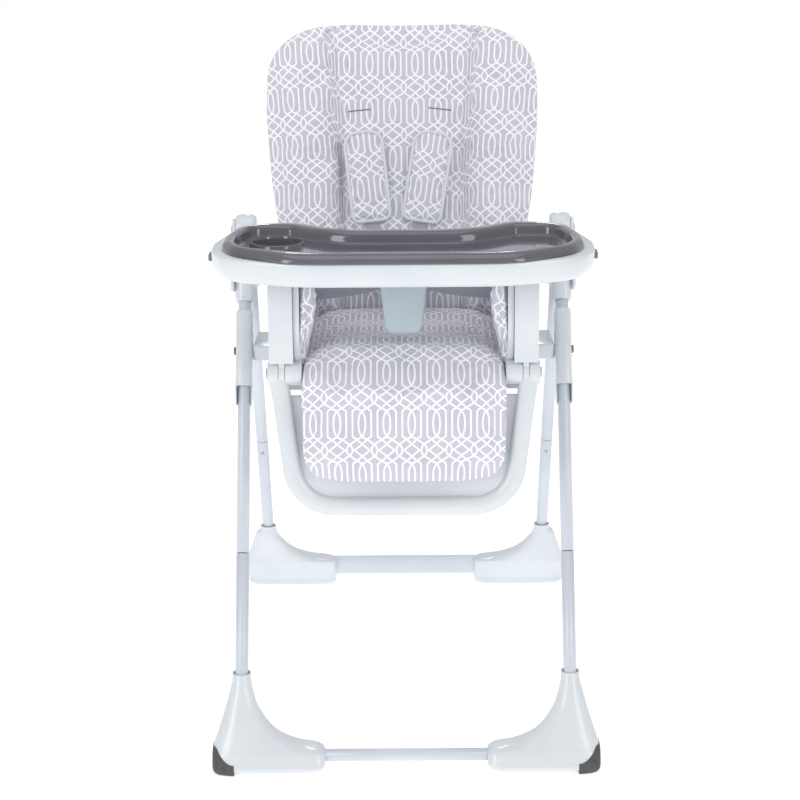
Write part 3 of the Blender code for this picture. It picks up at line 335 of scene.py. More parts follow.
def stroke_distance(tree, point, start, end):
    """Distance to a straight stroke: the point less its nearest place on the stroke, which is start + h times
    the run, with h the share of the way, kept between 0 and 1."""
    run = np.array([end[0] - start[0], end[1] - start[1], 0.0])
    offset = add_node(tree, "ShaderNodeVectorMath", {0: point, 1: (*start, 0.0)},
                      operation="SUBTRACT").outputs[0]
    share = tuple(float(value) for value in run / (run @ run))
    along = add_node(tree, "ShaderNodeVectorMath", {0: offset, 1: share},
                     operation="DOT_PRODUCT").outputs["Value"]
    kept = add_node(tree, "ShaderNodeClamp", {"Value": along}).outputs[0]
    way = add_node(tree, "ShaderNodeVectorMath", {0: tuple(float(v) for v in run), "Scale": kept},
                   operation="SCALE")
    return add_node(tree, "ShaderNodeVectorMath", {0: offset, 1: way.outputs[0]},
                    operation="DISTANCE").outputs["Value"]


def trellis(tree):
    """Ink share of the print, from the UV map in metres: 1 on a stroke, 0 on the ground, with a soft edge."""
    where = add_node(tree, "ShaderNodeUVMap", uv_map="cloth").outputs[0]
    part = add_node(tree, "ShaderNodeSeparateXYZ", {0: where})
    cells = [add_node(tree, "ShaderNodeMath", {0: part.outputs[i], 1: 1.0 / CELL_W},
                      operation="MULTIPLY").outputs[0]
             for i in (0, 1)]
    point = add_node(tree, "ShaderNodeCombineXYZ",
                     {0: folded(tree, cells[0], 0.5), 1: folded(tree, cells[1], QUARTER_H)})
    nearest = None
    for stroke in STROKES:
        for start, end in zip(stroke, stroke[1:]):
            distance = stroke_distance(tree, point.outputs[0], start, end)
            if nearest is not None:
                distance = add_node(tree, "ShaderNodeMath", {0: nearest, 1: distance},
                                    operation="MINIMUM").outputs[0]
            nearest = distance
    edge = STROKE / CELL_W
    sockets = {"Value": nearest, "From Min": edge * 0.75, "From Max": edge * 1.25, "To Min": 1.0,
               "To Max": 0.0}
    return add_node(tree, "ShaderNodeMapRange", sockets).outputs["Result"]


# %% [markdown]
# A plain weave is a chessboard of small humps: the product of two sine waves, one along each thread. The
# threads are 0.45 mm apart on the real cloth, which is too fine to show, so they are drawn 0.9 mm apart.
# The binding is a knitted tape with the same weave and no print, and the harness is a coarse webbing whose
# ribs run along it, 1.6 mm apart.

# %% Cloth, binding and webbing
THREAD = 0.0009


def weave(tree, across, along):
    """Height of a weave: sin(pi u / across) times sin(pi v / along), from the UV map in metres."""
    where = add_node(tree, "ShaderNodeUVMap", uv_map="cloth").outputs[0]
    part = add_node(tree, "ShaderNodeSeparateXYZ", {0: where})
    waves = []
    for socket, spacing in zip(part.outputs, (across, along)):
        phase = add_node(tree, "ShaderNodeMath", {0: socket, 1: float(np.pi / spacing)},
                         operation="MULTIPLY").outputs[0]
        waves.append(add_node(tree, "ShaderNodeMath", {0: phase}, operation="SINE").outputs[0])
    return add_node(tree, "ShaderNodeMath", {0: waves[0], 1: waves[1]}, operation="MULTIPLY").outputs[0]


def printed_polyester():
    """Woven polyester with the trellis print: ink a little smoother than the ground, and a faint sheen."""
    material, tree, shader = new_finish("printed_woven_polyester", "#CAC9D5", 0.85, IOR=1.45,
                                        Sheen_Weight=0.15)
    shader.inputs["Sheen Roughness"].default_value = 0.5
    ground = tinted(tree, between(tree, noise_at(tree, 60.0, 3.0), 0.0, 1.0), "#C6C5D1", "#CECDD9")
    ink = trellis(tree)
    mix = add_node(tree, "ShaderNodeMix", {"Factor": ink}, data_type="RGBA")
    tree.links.new(ground, mix.inputs[6])
    mix.inputs[7].default_value = linear("#FBFAFD")
    tree.links.new(mix.outputs[2], shader.inputs["Base Color"])
    tree.links.new(between(tree, ink, 0.88, 0.7), shader.inputs["Roughness"])
    threads = bumped(tree, weave(tree, THREAD, THREAD), 0.09, 0.5)
    puckers = bumped(tree, noise_at(tree, 26.0, 3.0), 1.4, 0.35, threads)
    tree.links.new(puckers, shader.inputs["Normal"])
    return material


def woven_tape(name, first, second, across, along, depth_mm):
    """Plain tape or webbing: two close tints and its weave."""
    material, tree, shader = new_finish(name, first, 0.8, Sheen_Weight=0.2)
    pattern = weave(tree, across, along)
    tree.links.new(tinted(tree, between(tree, pattern, 0.0, 1.0), first, second), shader.inputs["Base Color"])
    tree.links.new(bumped(tree, pattern, depth_mm, 0.7), shader.inputs["Normal"])
    return material


PRINTED = printed_polyester()
BINDING = woven_tape("knitted_binding_tape", "#DDE2E8", "#E6EAEE", 0.0012, 0.0012, 0.15)
WEBBING = woven_tape("ribbed_webbing", "#B9BEC6", "#A9AEB7", 0.0016, 0.0040, 0.3)
print("cloth finishes:", PRINTED.name, BINDING.name, WEBBING.name)

# %% [markdown]
# A surface here is an array of points, rows by columns by three. Neighbours make quads. The columns close
# into a ring when the shape goes round, and a row can be closed by a cap when the shape ends. Every piece
# gets its cloth map, if it has one, from an array of the same size in metres.

# %% Surfaces from arrays


def ring_faces(rows, columns, closed):
    """Quads of a grid: corners (r, c), (r, c+1), (r+1, c+1), (r+1, c). A closed grid joins its last column to
    its first."""
    r, c = np.meshgrid(np.arange(rows - 1), np.arange(columns if closed else columns - 1), indexing="ij")
    after = (c + 1) % columns
    return np.stack([r * columns + c, r * columns + after, (r + 1) * columns + after, (r + 1) * columns + c],
                    -1).reshape(-1, 4)


def face_out(mesh):
    """Turns every face over when the mesh's volume, the sum of its tetrahedra, is negative."""
    mesh.calc_loop_triangles()
    points = np.empty(len(mesh.vertices) * 3)
    mesh.vertices.foreach_get("co", points)
    points = points.reshape(-1, 3) - points.reshape(-1, 3).mean(0)
    corners = np.empty(len(mesh.loop_triangles) * 3, int)
    mesh.loop_triangles.foreach_get("vertices", corners)
    a, b, c = points[corners.reshape(-1, 3)].transpose(1, 0, 2)
    if np.einsum("ij,ij->i", a, np.cross(b, c)).sum() < 0:
        mesh.flip_normals()


def surface(name, points, finish, closed=True, caps=(True, True), uv=None, smooth=True):
    """An object from a grid of points. A capped end row is closed by one many-sided face."""
    rows, columns = points.shape[:2]
    faces = ring_faces(rows, columns, closed).tolist()
    if caps[0]:
        faces.append(list(range(columns))[::-1])
    if caps[1]:
        faces.append(list(range((rows - 1) * columns, rows * columns)))
    mesh = bpy.data.meshes.new(name)
    mesh.from_pydata(points.reshape(-1, 3).tolist(), [], faces)
    if uv is not None:
        layer = mesh.uv_layers.new(name="cloth")
        loops = np.empty(len(mesh.loops), int)
        mesh.loops.foreach_get("vertex_index", loops)
        layer.data.foreach_set("uv", uv.reshape(-1, 2)[loops].astype(np.float32).reshape(-1))
    mesh.polygons.foreach_set("use_smooth", [smooth] * len(mesh.polygons))
    face_out(mesh)
    mesh.materials.append(finish)
    obj = bpy.data.objects.new(name, mesh)
    bpy.context.scene.collection.objects.link(obj)
    return obj


def with_modifiers(obj, sharp=35.0, bevel=0.0, segments=2, subdivide=0):
    """Rounds the edges sharper than the angle, divides the faces if asked, and applies both to the mesh."""
    if bevel:
        edge = obj.modifiers.new("edges", "BEVEL")
        edge.width, edge.segments, edge.limit_method = bevel, segments, "ANGLE"
        edge.angle_limit = np.radians(sharp)
    if subdivide:
        level = obj.modifiers.new("subdivision", "SUBSURF")
        level.levels = level.render_levels = subdivide
    return applied(obj)


def applied(obj):
    """The object with its modifiers made part of its mesh."""
    graph = bpy.context.evaluated_depsgraph_get()
    mesh = bpy.data.meshes.new_from_object(obj.evaluated_get(graph), depsgraph=graph)
    obj.modifiers.clear()
    obj.data = mesh
    return obj


def crease(obj, angle=35.0):
    """Edges sharper than the angle stay sharp in the shading, and all else is smooth."""
    obj.data.set_sharp_from_angle(angle=np.radians(angle))
    return obj


def placed(obj, body, nodes=()):
    """The piece rides on its body and stands for the CAD nodes it replaces, which are hidden."""
    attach(obj, body)
    if nodes:
        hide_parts(*nodes)
    return obj


# %% [markdown]
# Most small mouldings, such as the hubs, sliders, armrests and seat pan, already have their true shape in the
# engineering model. A real moulding has no sharp edge anywhere, because the tool needs a radius and the
# hand does too. So each is copied, its loose triangles are merged, and its edges are rounded.

# %% Mouldings with rounded edges


def moulding(node, body, finish, radius, sharp=32.0):
    """A copy of a CAD node, merged into whole faces, with every sharp edge rounded by the radius."""
    obj = frame["nodes"][node].copy()
    obj.data = obj.data.copy()
    for key in list(obj.keys()):
        del obj[key]
    obj.parent = None
    obj.name = obj.data.name = f"{node}_moulded"
    bpy.context.scene.collection.objects.link(obj)
    obj.data.materials.clear()
    obj.data.materials.append(finish)
    weld = obj.modifiers.new("weld", "WELD")
    weld.merge_threshold = 0.00002
    planar = obj.modifiers.new("planar", "DECIMATE")
    planar.decimate_type, planar.angle_limit = "DISSOLVE", np.radians(1.0)
    applied(obj)
    with_modifiers(obj, sharp, radius)
    obj.data.polygons.foreach_set("use_smooth", [True] * len(obj.data.polygons))
    crease(obj, 50.0)
    return placed(obj, body, [node])


def body_named(node):
    """The CAD body that a node rides on."""
    return next(body for body, nodes in frame["record"]["behaviour"]["bodies"].items() if node in nodes)


ROUNDED = (("hub_front", WHITE, "white_plastic", 0.0010), ("hub_rear", WHITE, "white_plastic", 0.0008),
           ("hub_cover", WHITE, "white_plastic", 0.0010), ("slider", WHITE, "white_plastic", 0.0010),
           ("seat_arm", WHITE, "white_plastic", 0.0014), ("fold_button", SATIN_GREY, "grey_plastic", 0.0005),
           ("height_button", SATIN_GREY, "grey_plastic", 0.0004),
           ("tray_latch", SATIN_GREY, "grey_plastic", 0.0006), ("hub_pin", ZINC, "steel", 0.0004),
           ("knee_pin", ZINC, "steel", 0.0004), ("snap_button", ZINC, "steel", 0.0004),
           ("wheel", RUBBER, "dark_rubber", 0.0004))
for kind, finish, slot_name, radius in ROUNDED:
    for side_name, _ in SIDES:
        node = f"{kind}_{side_name}"
        moulding(node, body_named(node), finish, radius)
for node, finish, slot_name, radius in (("seat_base", WHITE, "white_plastic", 0.0012),
                                        ("recline_handle", SATIN_GREY, "grey_plastic", 0.0012),
                                        ("buckle", SATIN_GREY, "grey_plastic", 0.0012)):
    moulding(node, body_named(node), finish, radius)
print(2 * len(ROUNDED) + 3, "mouldings rounded")

# %% [markdown]
# A tube is a circle carried along a straight line. The legs are telescoped: the lower tube slips into the
# upper one, so each shows its rolled end, a thin dark gap between them, and its wall where it is open.

# %% Leg tubes and front crossbar
TUBE_WALL = 0.0013
ROLLED = 0.0006


def turned_along(name, start, direction, profile, finish, sides=48):
    """A profile of (radius, distance) pairs turned round an axis: start + s d + r (cos t across + sin t
    other)."""
    direction = direction / np.linalg.norm(direction)
    across = np.cross(direction, [0.0, 0.0, 1.0] if abs(direction[2]) < 0.9 else [1.0, 0.0, 0.0])
    across = across / np.linalg.norm(across)
    other = np.cross(direction, across)
    angle = np.linspace(0.0, 2.0 * np.pi, sides, endpoint=False)[None, :, None]
    radius, distance = (np.array(column)[:, None, None] for column in zip(*profile))
    points = start + distance * direction + radius * (np.cos(angle) * across + np.sin(angle) * other)
    return surface(name, points, finish, caps=(False, False))


def tube_profile(radius, start, end, bore):
    """Out along the tube and back through its bore, with rolled lips, closed into a loop."""
    outer = [(radius - ROLLED, start), (radius, start + ROLLED),
             (radius, end - ROLLED), (radius - ROLLED, end)]
    return outer + [(bore, end), (bore, start), (radius - ROLLED, start)]


def leg_tube(node, side, lean, radius, spigot=0.0):
    """A tube between the two distances down the leg that its CAD box gives."""
    start, down = leg_line(side, lean)
    low, high = (np.array(corner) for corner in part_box(node))
    tilt = radius * abs(down[1])
    first = (start[2] - high[2] + tilt) / abs(down[2]) + spigot
    last = (start[2] - low[2] + tilt) / abs(down[2]) - 2.0 * tilt / abs(down[2])
    profile = tube_profile(radius, first, last, radius - TUBE_WALL)
    piece = turned_along(f"{node}_coated", start, down, profile, COATED)
    crease(piece, 60.0)
    return placed(piece, body_named(node), [node])


SPIGOT = 0.0353
for side_name, side in SIDES:
    for kind, lean in (("front", -1.0), ("rear", 1.0)):
        leg_tube(f"{kind}_tube_upper_{side_name}", side, lean, TUBE_R)
        leg_tube(f"{kind}_tube_lower_{side_name}", side, lean, TUBE_R, SPIGOT)

bar_low, bar_high = (np.array(corner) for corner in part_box("front_crossbar"))
bar_r = (bar_high[2] - bar_low[2]) / 2
bar_start = np.array([bar_low[0], (bar_low[1] + bar_high[1]) / 2, (bar_low[2] + bar_high[2]) / 2])
bar = turned_along("front_crossbar_coated", bar_start, np.array([1.0, 0.0, 0.0]),
                   tube_profile(bar_r, 0.0, bar_high[0] - bar_low[0], bar_r - TUBE_WALL), COATED)
placed(crease(bar, 60.0), "front_frame", ["front_crossbar"])


def flat_oval(angle, half_y, half_z, power):
    """A superellipse: each half size times the signed 2/power root of the cosine and sine."""
    c, s = np.cos(angle), np.sin(angle)
    return half_y * np.sign(c) * np.abs(c) ** (2.0 / power), half_z * np.sign(s) * np.abs(s) ** (2.0 / power)


low, high = (np.array(corner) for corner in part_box("rear_crossbar"))
middle, half = (low + high) / 2, (high - low) / 2
angle = np.linspace(0.0, 2.0 * np.pi, 64, endpoint=False)
across, up = flat_oval(angle, half[1], half[2], 2.6)
ends = np.array([low[0], high[0]])
bar_points = np.stack(np.broadcast_arrays(ends[:, None], middle[1] + across, middle[2] + up), -1)
bar = surface("rear_crossbar_coated", bar_points, COATED)
placed(crease(bar, 60.0), "rear_frame", ["rear_crossbar"])
print("8 leg tubes and 2 crossbars")

# %% [markdown]
# Each foot is one hollow moulding that starts as a snug collar round the tube, flares like a bell and sweeps
# inward into an arm that takes the crossbar. Level sections, each a superellipse, describe it well: between a
# few chosen heights the section's outer side, inner side, depth and squareness are carried by a smooth curve.

# %% Feet
FOOT_SIDES, FOOT_ROWS = 96, 72
FOOT_ARM = {-1.0: 0.0330, 1.0: 0.0540}
UPRIGHT_BELOW = 0.0120


def smooth_through(at, values, heights):
    """A monotone cubic through the chosen heights: Hermite pieces whose slopes are harmonic means of the
    chords."""
    at, values = np.array(at, float), np.array(values, float)
    chord = np.diff(values) / np.diff(at)
    inner = np.where(chord[1:] * chord[:-1] > 0,
                     2 * chord[1:] * chord[:-1] / (chord[1:] + chord[:-1] + 1e-12), 0.0)
    slope = np.concatenate([chord[:1], inner, chord[-1:]])
    i = np.clip(np.searchsorted(at, heights, side="right") - 1, 0, len(at) - 2)
    h = at[i + 1] - at[i]
    t = (heights - at[i]) / h
    return ((1 + 2 * t) * (1 - t) ** 2 * values[i] + t * (1 - t) ** 2 * h * slope[i]
            + t * t * (3 - 2 * t) * values[i + 1] + t * t * (t - 1) * h * slope[i + 1])


def foot_points(side, lean, stations, heights, angle, swell=0.0):
    """Points of a foot: at each height, a superellipse between its sides, centred on the leg."""
    heights, angle = np.broadcast_arrays(heights, angle)
    at = [row[0] for row in stations]
    outer, inner, depth, power = (smooth_through(at, [row[i] for row in stations], heights)
                                  for i in range(1, 5))
    c, s = np.cos(angle), np.sin(angle)
    x = (outer + inner) / 2 + ((outer - inner) / 2 + swell) * np.sign(c) * np.abs(c) ** (2.0 / power)
    axis_y = leg_y(side, lean, np.maximum(heights, UPRIGHT_BELOW))
    y = axis_y + (depth + swell) * np.sign(s) * np.abs(s) ** (2.0 / power)
    return np.stack([side * x, y, heights], -1)


def leg_y(side, lean, height):
    """Where a leg's axis is, fore and aft, at a height."""
    start, down = leg_line(side, lean)
    return start[1] + (height - start[2]) / down[2] * down[1]


def foot_stations(inner_end, out, collar, arm, half_depth, low):
    """The foot's chosen heights, sole first: (height, outer side, inner side, half depth, squareness)."""
    rim = TUBE_R + 0.0046
    return ((low, out - 0.0040, inner_end + 0.0050, half_depth - 0.0035, 4.0),
            (low + 0.0030, out - 0.0015, inner_end + 0.0015, half_depth - 0.0008, 4.0),
            (low + 0.0080, out, inner_end, half_depth, 4.0),
            (arm - 0.0060, out + 0.0002, inner_end + 0.0005, half_depth, 4.0),
            (arm - 0.0015, out, inner_end + 0.0060, half_depth, 3.6),
            (arm + 0.0015, out - 0.0004, inner_end + 0.0240, half_depth - 0.0008, 3.2),
            (arm + 0.0080, out - 0.0018, inner_end + 0.0480, half_depth - 0.0022, 2.8),
            (arm + 0.0200, out - 0.0060, inner_end + 0.0730, half_depth * 0.86, 2.5),
            (arm + 0.0400, out - 0.0130, inner_end + 0.0930, half_depth * 0.74, 2.3),
            (arm + 0.0620, out - 0.0200, inner_end + 0.1060, half_depth * 0.63, 2.1),
            (collar - 0.0040, LEG_X + rim, LEG_X - rim, rim, 2.0),
            (collar, LEG_X + rim, LEG_X - rim, rim, 2.0))


def foot_shape(node, lean, low):
    """The stations of a foot from its CAD box, and its collar's height."""
    box_low, box_high = (np.array(corner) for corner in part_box(node))
    out, inner_end = max(abs(box_low[0]), abs(box_high[0])), min(abs(box_low[0]), abs(box_high[0]))
    half_depth = abs((box_low[1] if lean < 0 else box_high[1]) - leg_y(1.0, lean, UPRIGHT_BELOW))
    return foot_stations(inner_end, out, box_high[2], FOOT_ARM[lean], half_depth, low), box_high[2]


def foot(node, side, lean, low):
    """A foot's outer surface, with a rounded collar lip turned in to the tube and a closed sole."""
    stations, collar = foot_shape(node, lean, low)
    share = np.linspace(0.0, 1.0, FOOT_ROWS)[:, None]
    heights = low + (collar - low) * (0.35 * share + 0.65 * share ** 1.6)
    angle = np.linspace(0.0, 2.0 * np.pi, FOOT_SIDES, endpoint=False)[None, :]
    points = foot_points(side, lean, stations, heights, angle)
    middle = np.array([side * LEG_X, leg_y(side, lean, collar), collar])
    lip = [middle + (points[-1] - middle) * scale + [0, 0, lift]
           for scale, lift in ((0.985, 0.0008), (0.93, 0.0012), (0.80, 0.0004), (0.76, -0.010))]
    return np.concatenate([points, np.stack(lip)])


for side_name, side in SIDES:
    for kind, lean, low in (("front", -1.0, 0.0040), ("rear", 1.0, 0.0)):
        node = f"{kind}_foot_{side_name}"
        piece = surface(f"{node}_moulded", foot(node, side, lean, low), WHITE, caps=(True, False))
        placed(crease(piece, 70.0), f"{kind}_frame", [node])
print("4 feet of", FOOT_ROWS, "by", FOOT_SIDES, "points")

# %% [markdown]
# The caps on the front feet are rubber shoes that wrap the outer corner of the moulding, from the side down
# and under the sole, and end in a slanted edge. The same foot function, a hair larger, gives their surface,
# so they fit the foot at every point, and a wall turned inward gives them their thickness.

# %% Rubber caps
CAP_SWELL, CAP_WALL = 0.0009, 0.0030
CAP_INNER_TOP = 0.0170


def rubber_cap(node, foot_node, side):
    """Rows from the sole's middle out and up the side. Columns run round the outer corner, back to front."""
    box_low, box_high = (np.array(corner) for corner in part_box(node))
    edge_x, top = min(abs(box_low[0]), abs(box_high[0])), box_high[2]
    stations, _ = foot_shape(foot_node, -1.0, 0.0)
    t = np.linspace(-1.0, 1.0, 61)[None, :]
    fade = np.clip((np.abs(t) - 0.35) / 0.65, 0.0, 1.0)
    line = top - (top - CAP_INNER_TOP) * fade * fade * (3 - 2 * fade)
    rise = np.array([0.0, 0.03, 0.08, 0.16, 0.28, 0.42, 0.58, 0.74, 0.88, 0.97, 1.0])[:, None]
    heights = rise * line
    at = [row[0] for row in stations]
    outer, inner, power = (smooth_through(at, [row[i] for row in stations], heights) for i in (1, 2, 4))
    reach = np.clip((edge_x - (outer + inner) / 2) / ((outer - inner) / 2), 0.0, 1.0) ** (power / 2.0)
    wall = foot_points(side, -1.0, stations, heights, t * np.arccos(reach), CAP_SWELL)
    spine = wall[0] * [0.0, 0.0, 1.0] + [side * edge_x, leg_y(side, -1.0, UPRIGHT_BELOW), 0.0]
    sole = [spine + (wall[0] - spine) * share for share in (0.02, 0.4, 0.75, 0.93)]
    return surface(f"{node}_rubber", np.concatenate([np.stack(sole), wall]), RUBBER, closed=False,
                   caps=(False, False))


def outward_from(obj, middle):
    """Turns an open shell's faces away from a point inside it."""
    count = len(obj.data.polygons)
    normals, centres = np.empty(count * 3), np.empty(count * 3)
    obj.data.polygons.foreach_get("normal", normals)
    obj.data.polygons.foreach_get("center", centres)
    if (normals.reshape(-1, 3) * (centres.reshape(-1, 3) - middle)).sum() < 0:
        obj.data.flip_normals()
    return obj


def walled(obj, thickness):
    """Gives an open shell a wall on its inner side."""
    wall = obj.modifiers.new("wall", "SOLIDIFY")
    wall.thickness, wall.offset = thickness, -1.0
    return applied(obj)


for side_name, side in SIDES:
    node = f"front_foot_pad_{side_name}"
    cap = rubber_cap(node, f"front_foot_{side_name}", side)
    outward_from(cap, np.array([side * (LEG_X + 0.015), leg_y(side, -1.0, UPRIGHT_BELOW), 0.02]))
    placed(crease(walled(cap, CAP_WALL), 60.0), "front_frame", [node])
print("2 rubber caps")

# %% [markdown]
# The tray is two mouldings: a white lower tray and a dark top with a broad rolled rim round a shallow basin.
# Both follow one outline, bowed in front and hollow where the sitter is. A profile of steps inward from that
# outline and heights is carried round it, and the floor closes toward a line across the tray's middle.

# %% The tray's outline
TRAY_LOW, TRAY_HIGH = (np.array(corner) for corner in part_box("tray_base"))
SEAM_Z, BASE_LOW_Z, RIM_Z = TRAY_HIGH[2], TRAY_LOW[2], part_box("tray_top")[1][2]
TRAY_HALF, TRAY_FRONT, TRAY_REAR = TRAY_HIGH[0], TRAY_LOW[1], TRAY_HIGH[1]
BELLY_Y = -0.145
LATCH_LOW, LATCH_HIGH = (np.array(corner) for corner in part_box("tray_latch_right"))


def arc_outline(corners, count, soften=3):
    """Even points along straight edges with an arc of radius r at each corner (x, y, r). Then each point is
    averaged with its neighbours a few times over, so that the bend comes in and goes out gently."""
    corners = np.array(corners, float)
    path = []
    for before, (x, y, r), after in zip(np.roll(corners, 1, 0), corners, np.roll(corners, -1, 0)):
        a, b = before[:2] - (x, y), after[:2] - (x, y)
        a, b = a / np.linalg.norm(a), b / np.linalg.norm(b)
        half = np.arccos(np.clip(a @ b, -1.0, 1.0)) / 2
        centre = np.array([x, y]) + (a + b) / np.linalg.norm(a + b) * r / np.sin(half)
        first, last = (np.array([x, y]) + d * r / np.tan(half) - centre for d in (a, b))
        turn = np.linspace(0.0, 1.0, 24)[:, None]
        mixed = first * (1 - turn) + last * turn
        path.append(centre + mixed / np.linalg.norm(mixed, axis=1, keepdims=True) * r)
    path = np.concatenate(path)
    loop = np.concatenate([path, path[:1]])
    run = np.concatenate([[0.0], np.cumsum(np.linalg.norm(np.diff(loop, axis=0), axis=1))])
    at = np.linspace(0.0, run[-1], count, endpoint=False)
    even = np.stack([np.interp(at, run, loop[:, i]) for i in (0, 1)], -1)
    for _ in range(soften):
        even = (np.roll(even, 1, 0) + 2 * even + np.roll(even, -1, 0)) / 4
    return even


def inward_normals(outline):
    """Unit normals to the left of the way round, which is inward on a loop that runs counterclockwise."""
    way = np.roll(outline, -1, 0) - np.roll(outline, 1, 0)
    way = way / np.linalg.norm(way, axis=1, keepdims=True)
    return np.stack([-way[:, 1], way[:, 0]], -1)


half_tray = [(0.150, TRAY_FRONT, 0.200), (TRAY_HALF - 0.024, TRAY_FRONT + 0.042, 0.075),
             (TRAY_HALF, LATCH_LOW[1] - 0.014, 0.050), (TRAY_HALF, LATCH_HIGH[1] + 0.014, 0.050),
             (TRAY_HALF - 0.024, TRAY_REAR, 0.065), (0.158, TRAY_REAR, 0.050), (0.095, BELLY_Y, 0.110)]
TRAY_OUTLINE = arc_outline(half_tray + [(-x, y, r) for x, y, r in half_tray[::-1]], 420, 8)
TRAY_INWARD = inward_normals(TRAY_OUTLINE)
MIDDLE_Y = -0.238


def round_the_tray(profile):
    """Rows of points: the outline moved inward by each step, at each height."""
    return np.stack([np.column_stack([TRAY_OUTLINE + TRAY_INWARD * step, np.full(len(TRAY_OUTLINE), z)])
                     for step, z in profile])


def closing_rows(row, shares):
    """Rows that shrink toward a line across the middle of the tray, to lay a floor inside a row."""
    spine = np.column_stack([row[:, 0] * 0.80, np.full(len(row), MIDDLE_Y), row[:, 2]])
    return np.stack([row + (spine - row) * share for share in shares])


print("tray", round(2 * TRAY_HALF * 1000), "by", round((TRAY_REAR - TRAY_FRONT) * 1000), "mm")

# %% [markdown]
# The rim's profile is a list of steps inward and rises over the seam: up the outside, over a rounded crest
# and down into the basin, where a small fillet meets the floor. At the tray's ends the white lower tray shows
# beside the dark top, so the rim is drawn in there.

# %% Dark top with its rolled rim
BASIN_Z = 0.763
RIM_STEPS = ((0.0010, 0.0004), (0.0002, 0.0016), (0.0006, 0.0045), (0.0026, 0.0080), (0.0065, 0.0111),
             (0.0125, 0.0133), (0.0190, 0.0140), (0.0255, 0.0137), (0.0300, 0.0125), (0.0330, 0.0104),
             (0.0350, 0.0070), (0.0366, 0.0022))
rim_rise = (RIM_Z - SEAM_Z) / max(rise for _, rise in RIM_STEPS)
rim_profile = [(step, SEAM_Z + rise * rim_rise) for step, rise in RIM_STEPS]
END_INSET, INSET_FROM_X, INSET_RAMP = 0.016, 0.165, 0.095
RIM_INNER = RIM_STEPS[-1][0]


def drawn_in(rows, profile):
    """The rim's outer side moved in at the tray's ends by e(x)(1 - step / inner step), e a ramp on |x|."""
    ramp = np.clip((np.abs(TRAY_OUTLINE[:, 0]) - INSET_FROM_X) / INSET_RAMP, 0.0, 1.0)
    inset = END_INSET * ramp * ramp * (3 - 2 * ramp)
    share = np.clip(1.0 - np.array([step for step, _ in profile]) / RIM_INNER, 0.0, 1.0)
    rows[..., :2] += TRAY_INWARD * inset[:, None] * share[:, None, None]
    return rows


fillet = [(0.0372, BASIN_Z + 0.0022), (0.0384, BASIN_Z + 0.0010), (0.0402, BASIN_Z + 0.0002),
          (0.0420, BASIN_Z)]
under = [(0.0205, SEAM_Z - 0.0120), (0.0200, SEAM_Z - 0.0110), (0.0200, SEAM_Z + 0.0004)]
FLOOR_SHARES = (0.15, 0.35, 0.6, 0.85, 0.97)
below = round_the_tray(under)
above = drawn_in(round_the_tray(rim_profile + fillet), rim_profile + fillet)
top_points = np.concatenate([closing_rows(below[0], FLOOR_SHARES)[::-1], below, above,
                             closing_rows(above[-1], FLOOR_SHARES)])
tray_top = surface("tray_top_moulded", top_points, TRAY_GREY)
print("tray top:", top_points.shape[0], "rows of", top_points.shape[1])

# %% [markdown]
# The cup recess is a turned bowl with a raised lip, set through a round hole in the basin's floor. A Boolean
# makes the hole, and the lip covers its edge.

# %% Cup recess
CUP_MIDDLE = np.array([-0.190, -0.185])
CUP_R = 0.040
CUP_FLOOR_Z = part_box("tray_top")[0][2] + 0.0028
CUT_LOW, CUT_HIGH = 0.70, 0.82


def hole(obj, radius, middle, low, high):
    """Cuts a round hole with a Boolean against an upright cylinder."""
    cutter = turned_along("cutter", np.array([middle[0], middle[1], 0.0]), np.array([0.0, 0.0, 1.0]),
                          [(0.0001, low), (radius, low), (radius, high), (0.0001, high)], WHITE, 72)
    boolean = obj.modifiers.new("hole", "BOOLEAN")
    boolean.object, boolean.operation, boolean.solver = cutter, "DIFFERENCE", "EXACT"
    applied(obj)
    bpy.data.objects.remove(cutter)
    return obj


hole(tray_top, CUP_R - 0.0004, CUP_MIDDLE, CUT_LOW, CUT_HIGH)
placed(crease(tray_top, 40.0), "tray_top", ["tray_top"])
lip_top = BASIN_Z + 0.0070
bowl = [(0.0001, CUP_FLOOR_Z), (0.0290, CUP_FLOOR_Z), (0.0330, CUP_FLOOR_Z + 0.0008),
        (0.0352, CUP_FLOOR_Z + 0.0030), (0.0362, CUP_FLOOR_Z + 0.0070), (0.0378, lip_top - 0.0050),
        (0.0384, lip_top - 0.0012), (0.0394, lip_top), (0.0406, lip_top - 0.0006), (0.0414, lip_top - 0.0022),
        (0.0420, BASIN_Z + 0.0016), (0.0432, BASIN_Z + 0.0002), (0.0400, BASIN_Z - 0.0006),
        (0.0392, BASIN_Z - 0.0040), (0.0386, CUP_FLOOR_Z + 0.0020), (0.0360, CUP_FLOOR_Z - 0.0022),
        (0.0001, CUP_FLOOR_Z - 0.0026)]
cup = turned_along("cup_recess_moulded", np.array([*CUP_MIDDLE, 0.0]), np.array([0.0, 0.0, 1.0]), bowl,
                   TRAY_GREY, 96)
placed(crease(cup, 60.0), "tray_top")
print("cup recess", round(CUP_R * 2000), "mm across")

# %% [markdown]
# The white tray is a hollow moulding open at the bottom: its profile runs from a step under the dark top,
# down the outside, round the lower lip and up the inside to a ceiling. The cup's bowl passes through a hole,
# and each latch slides in a slot cut through the end wall.

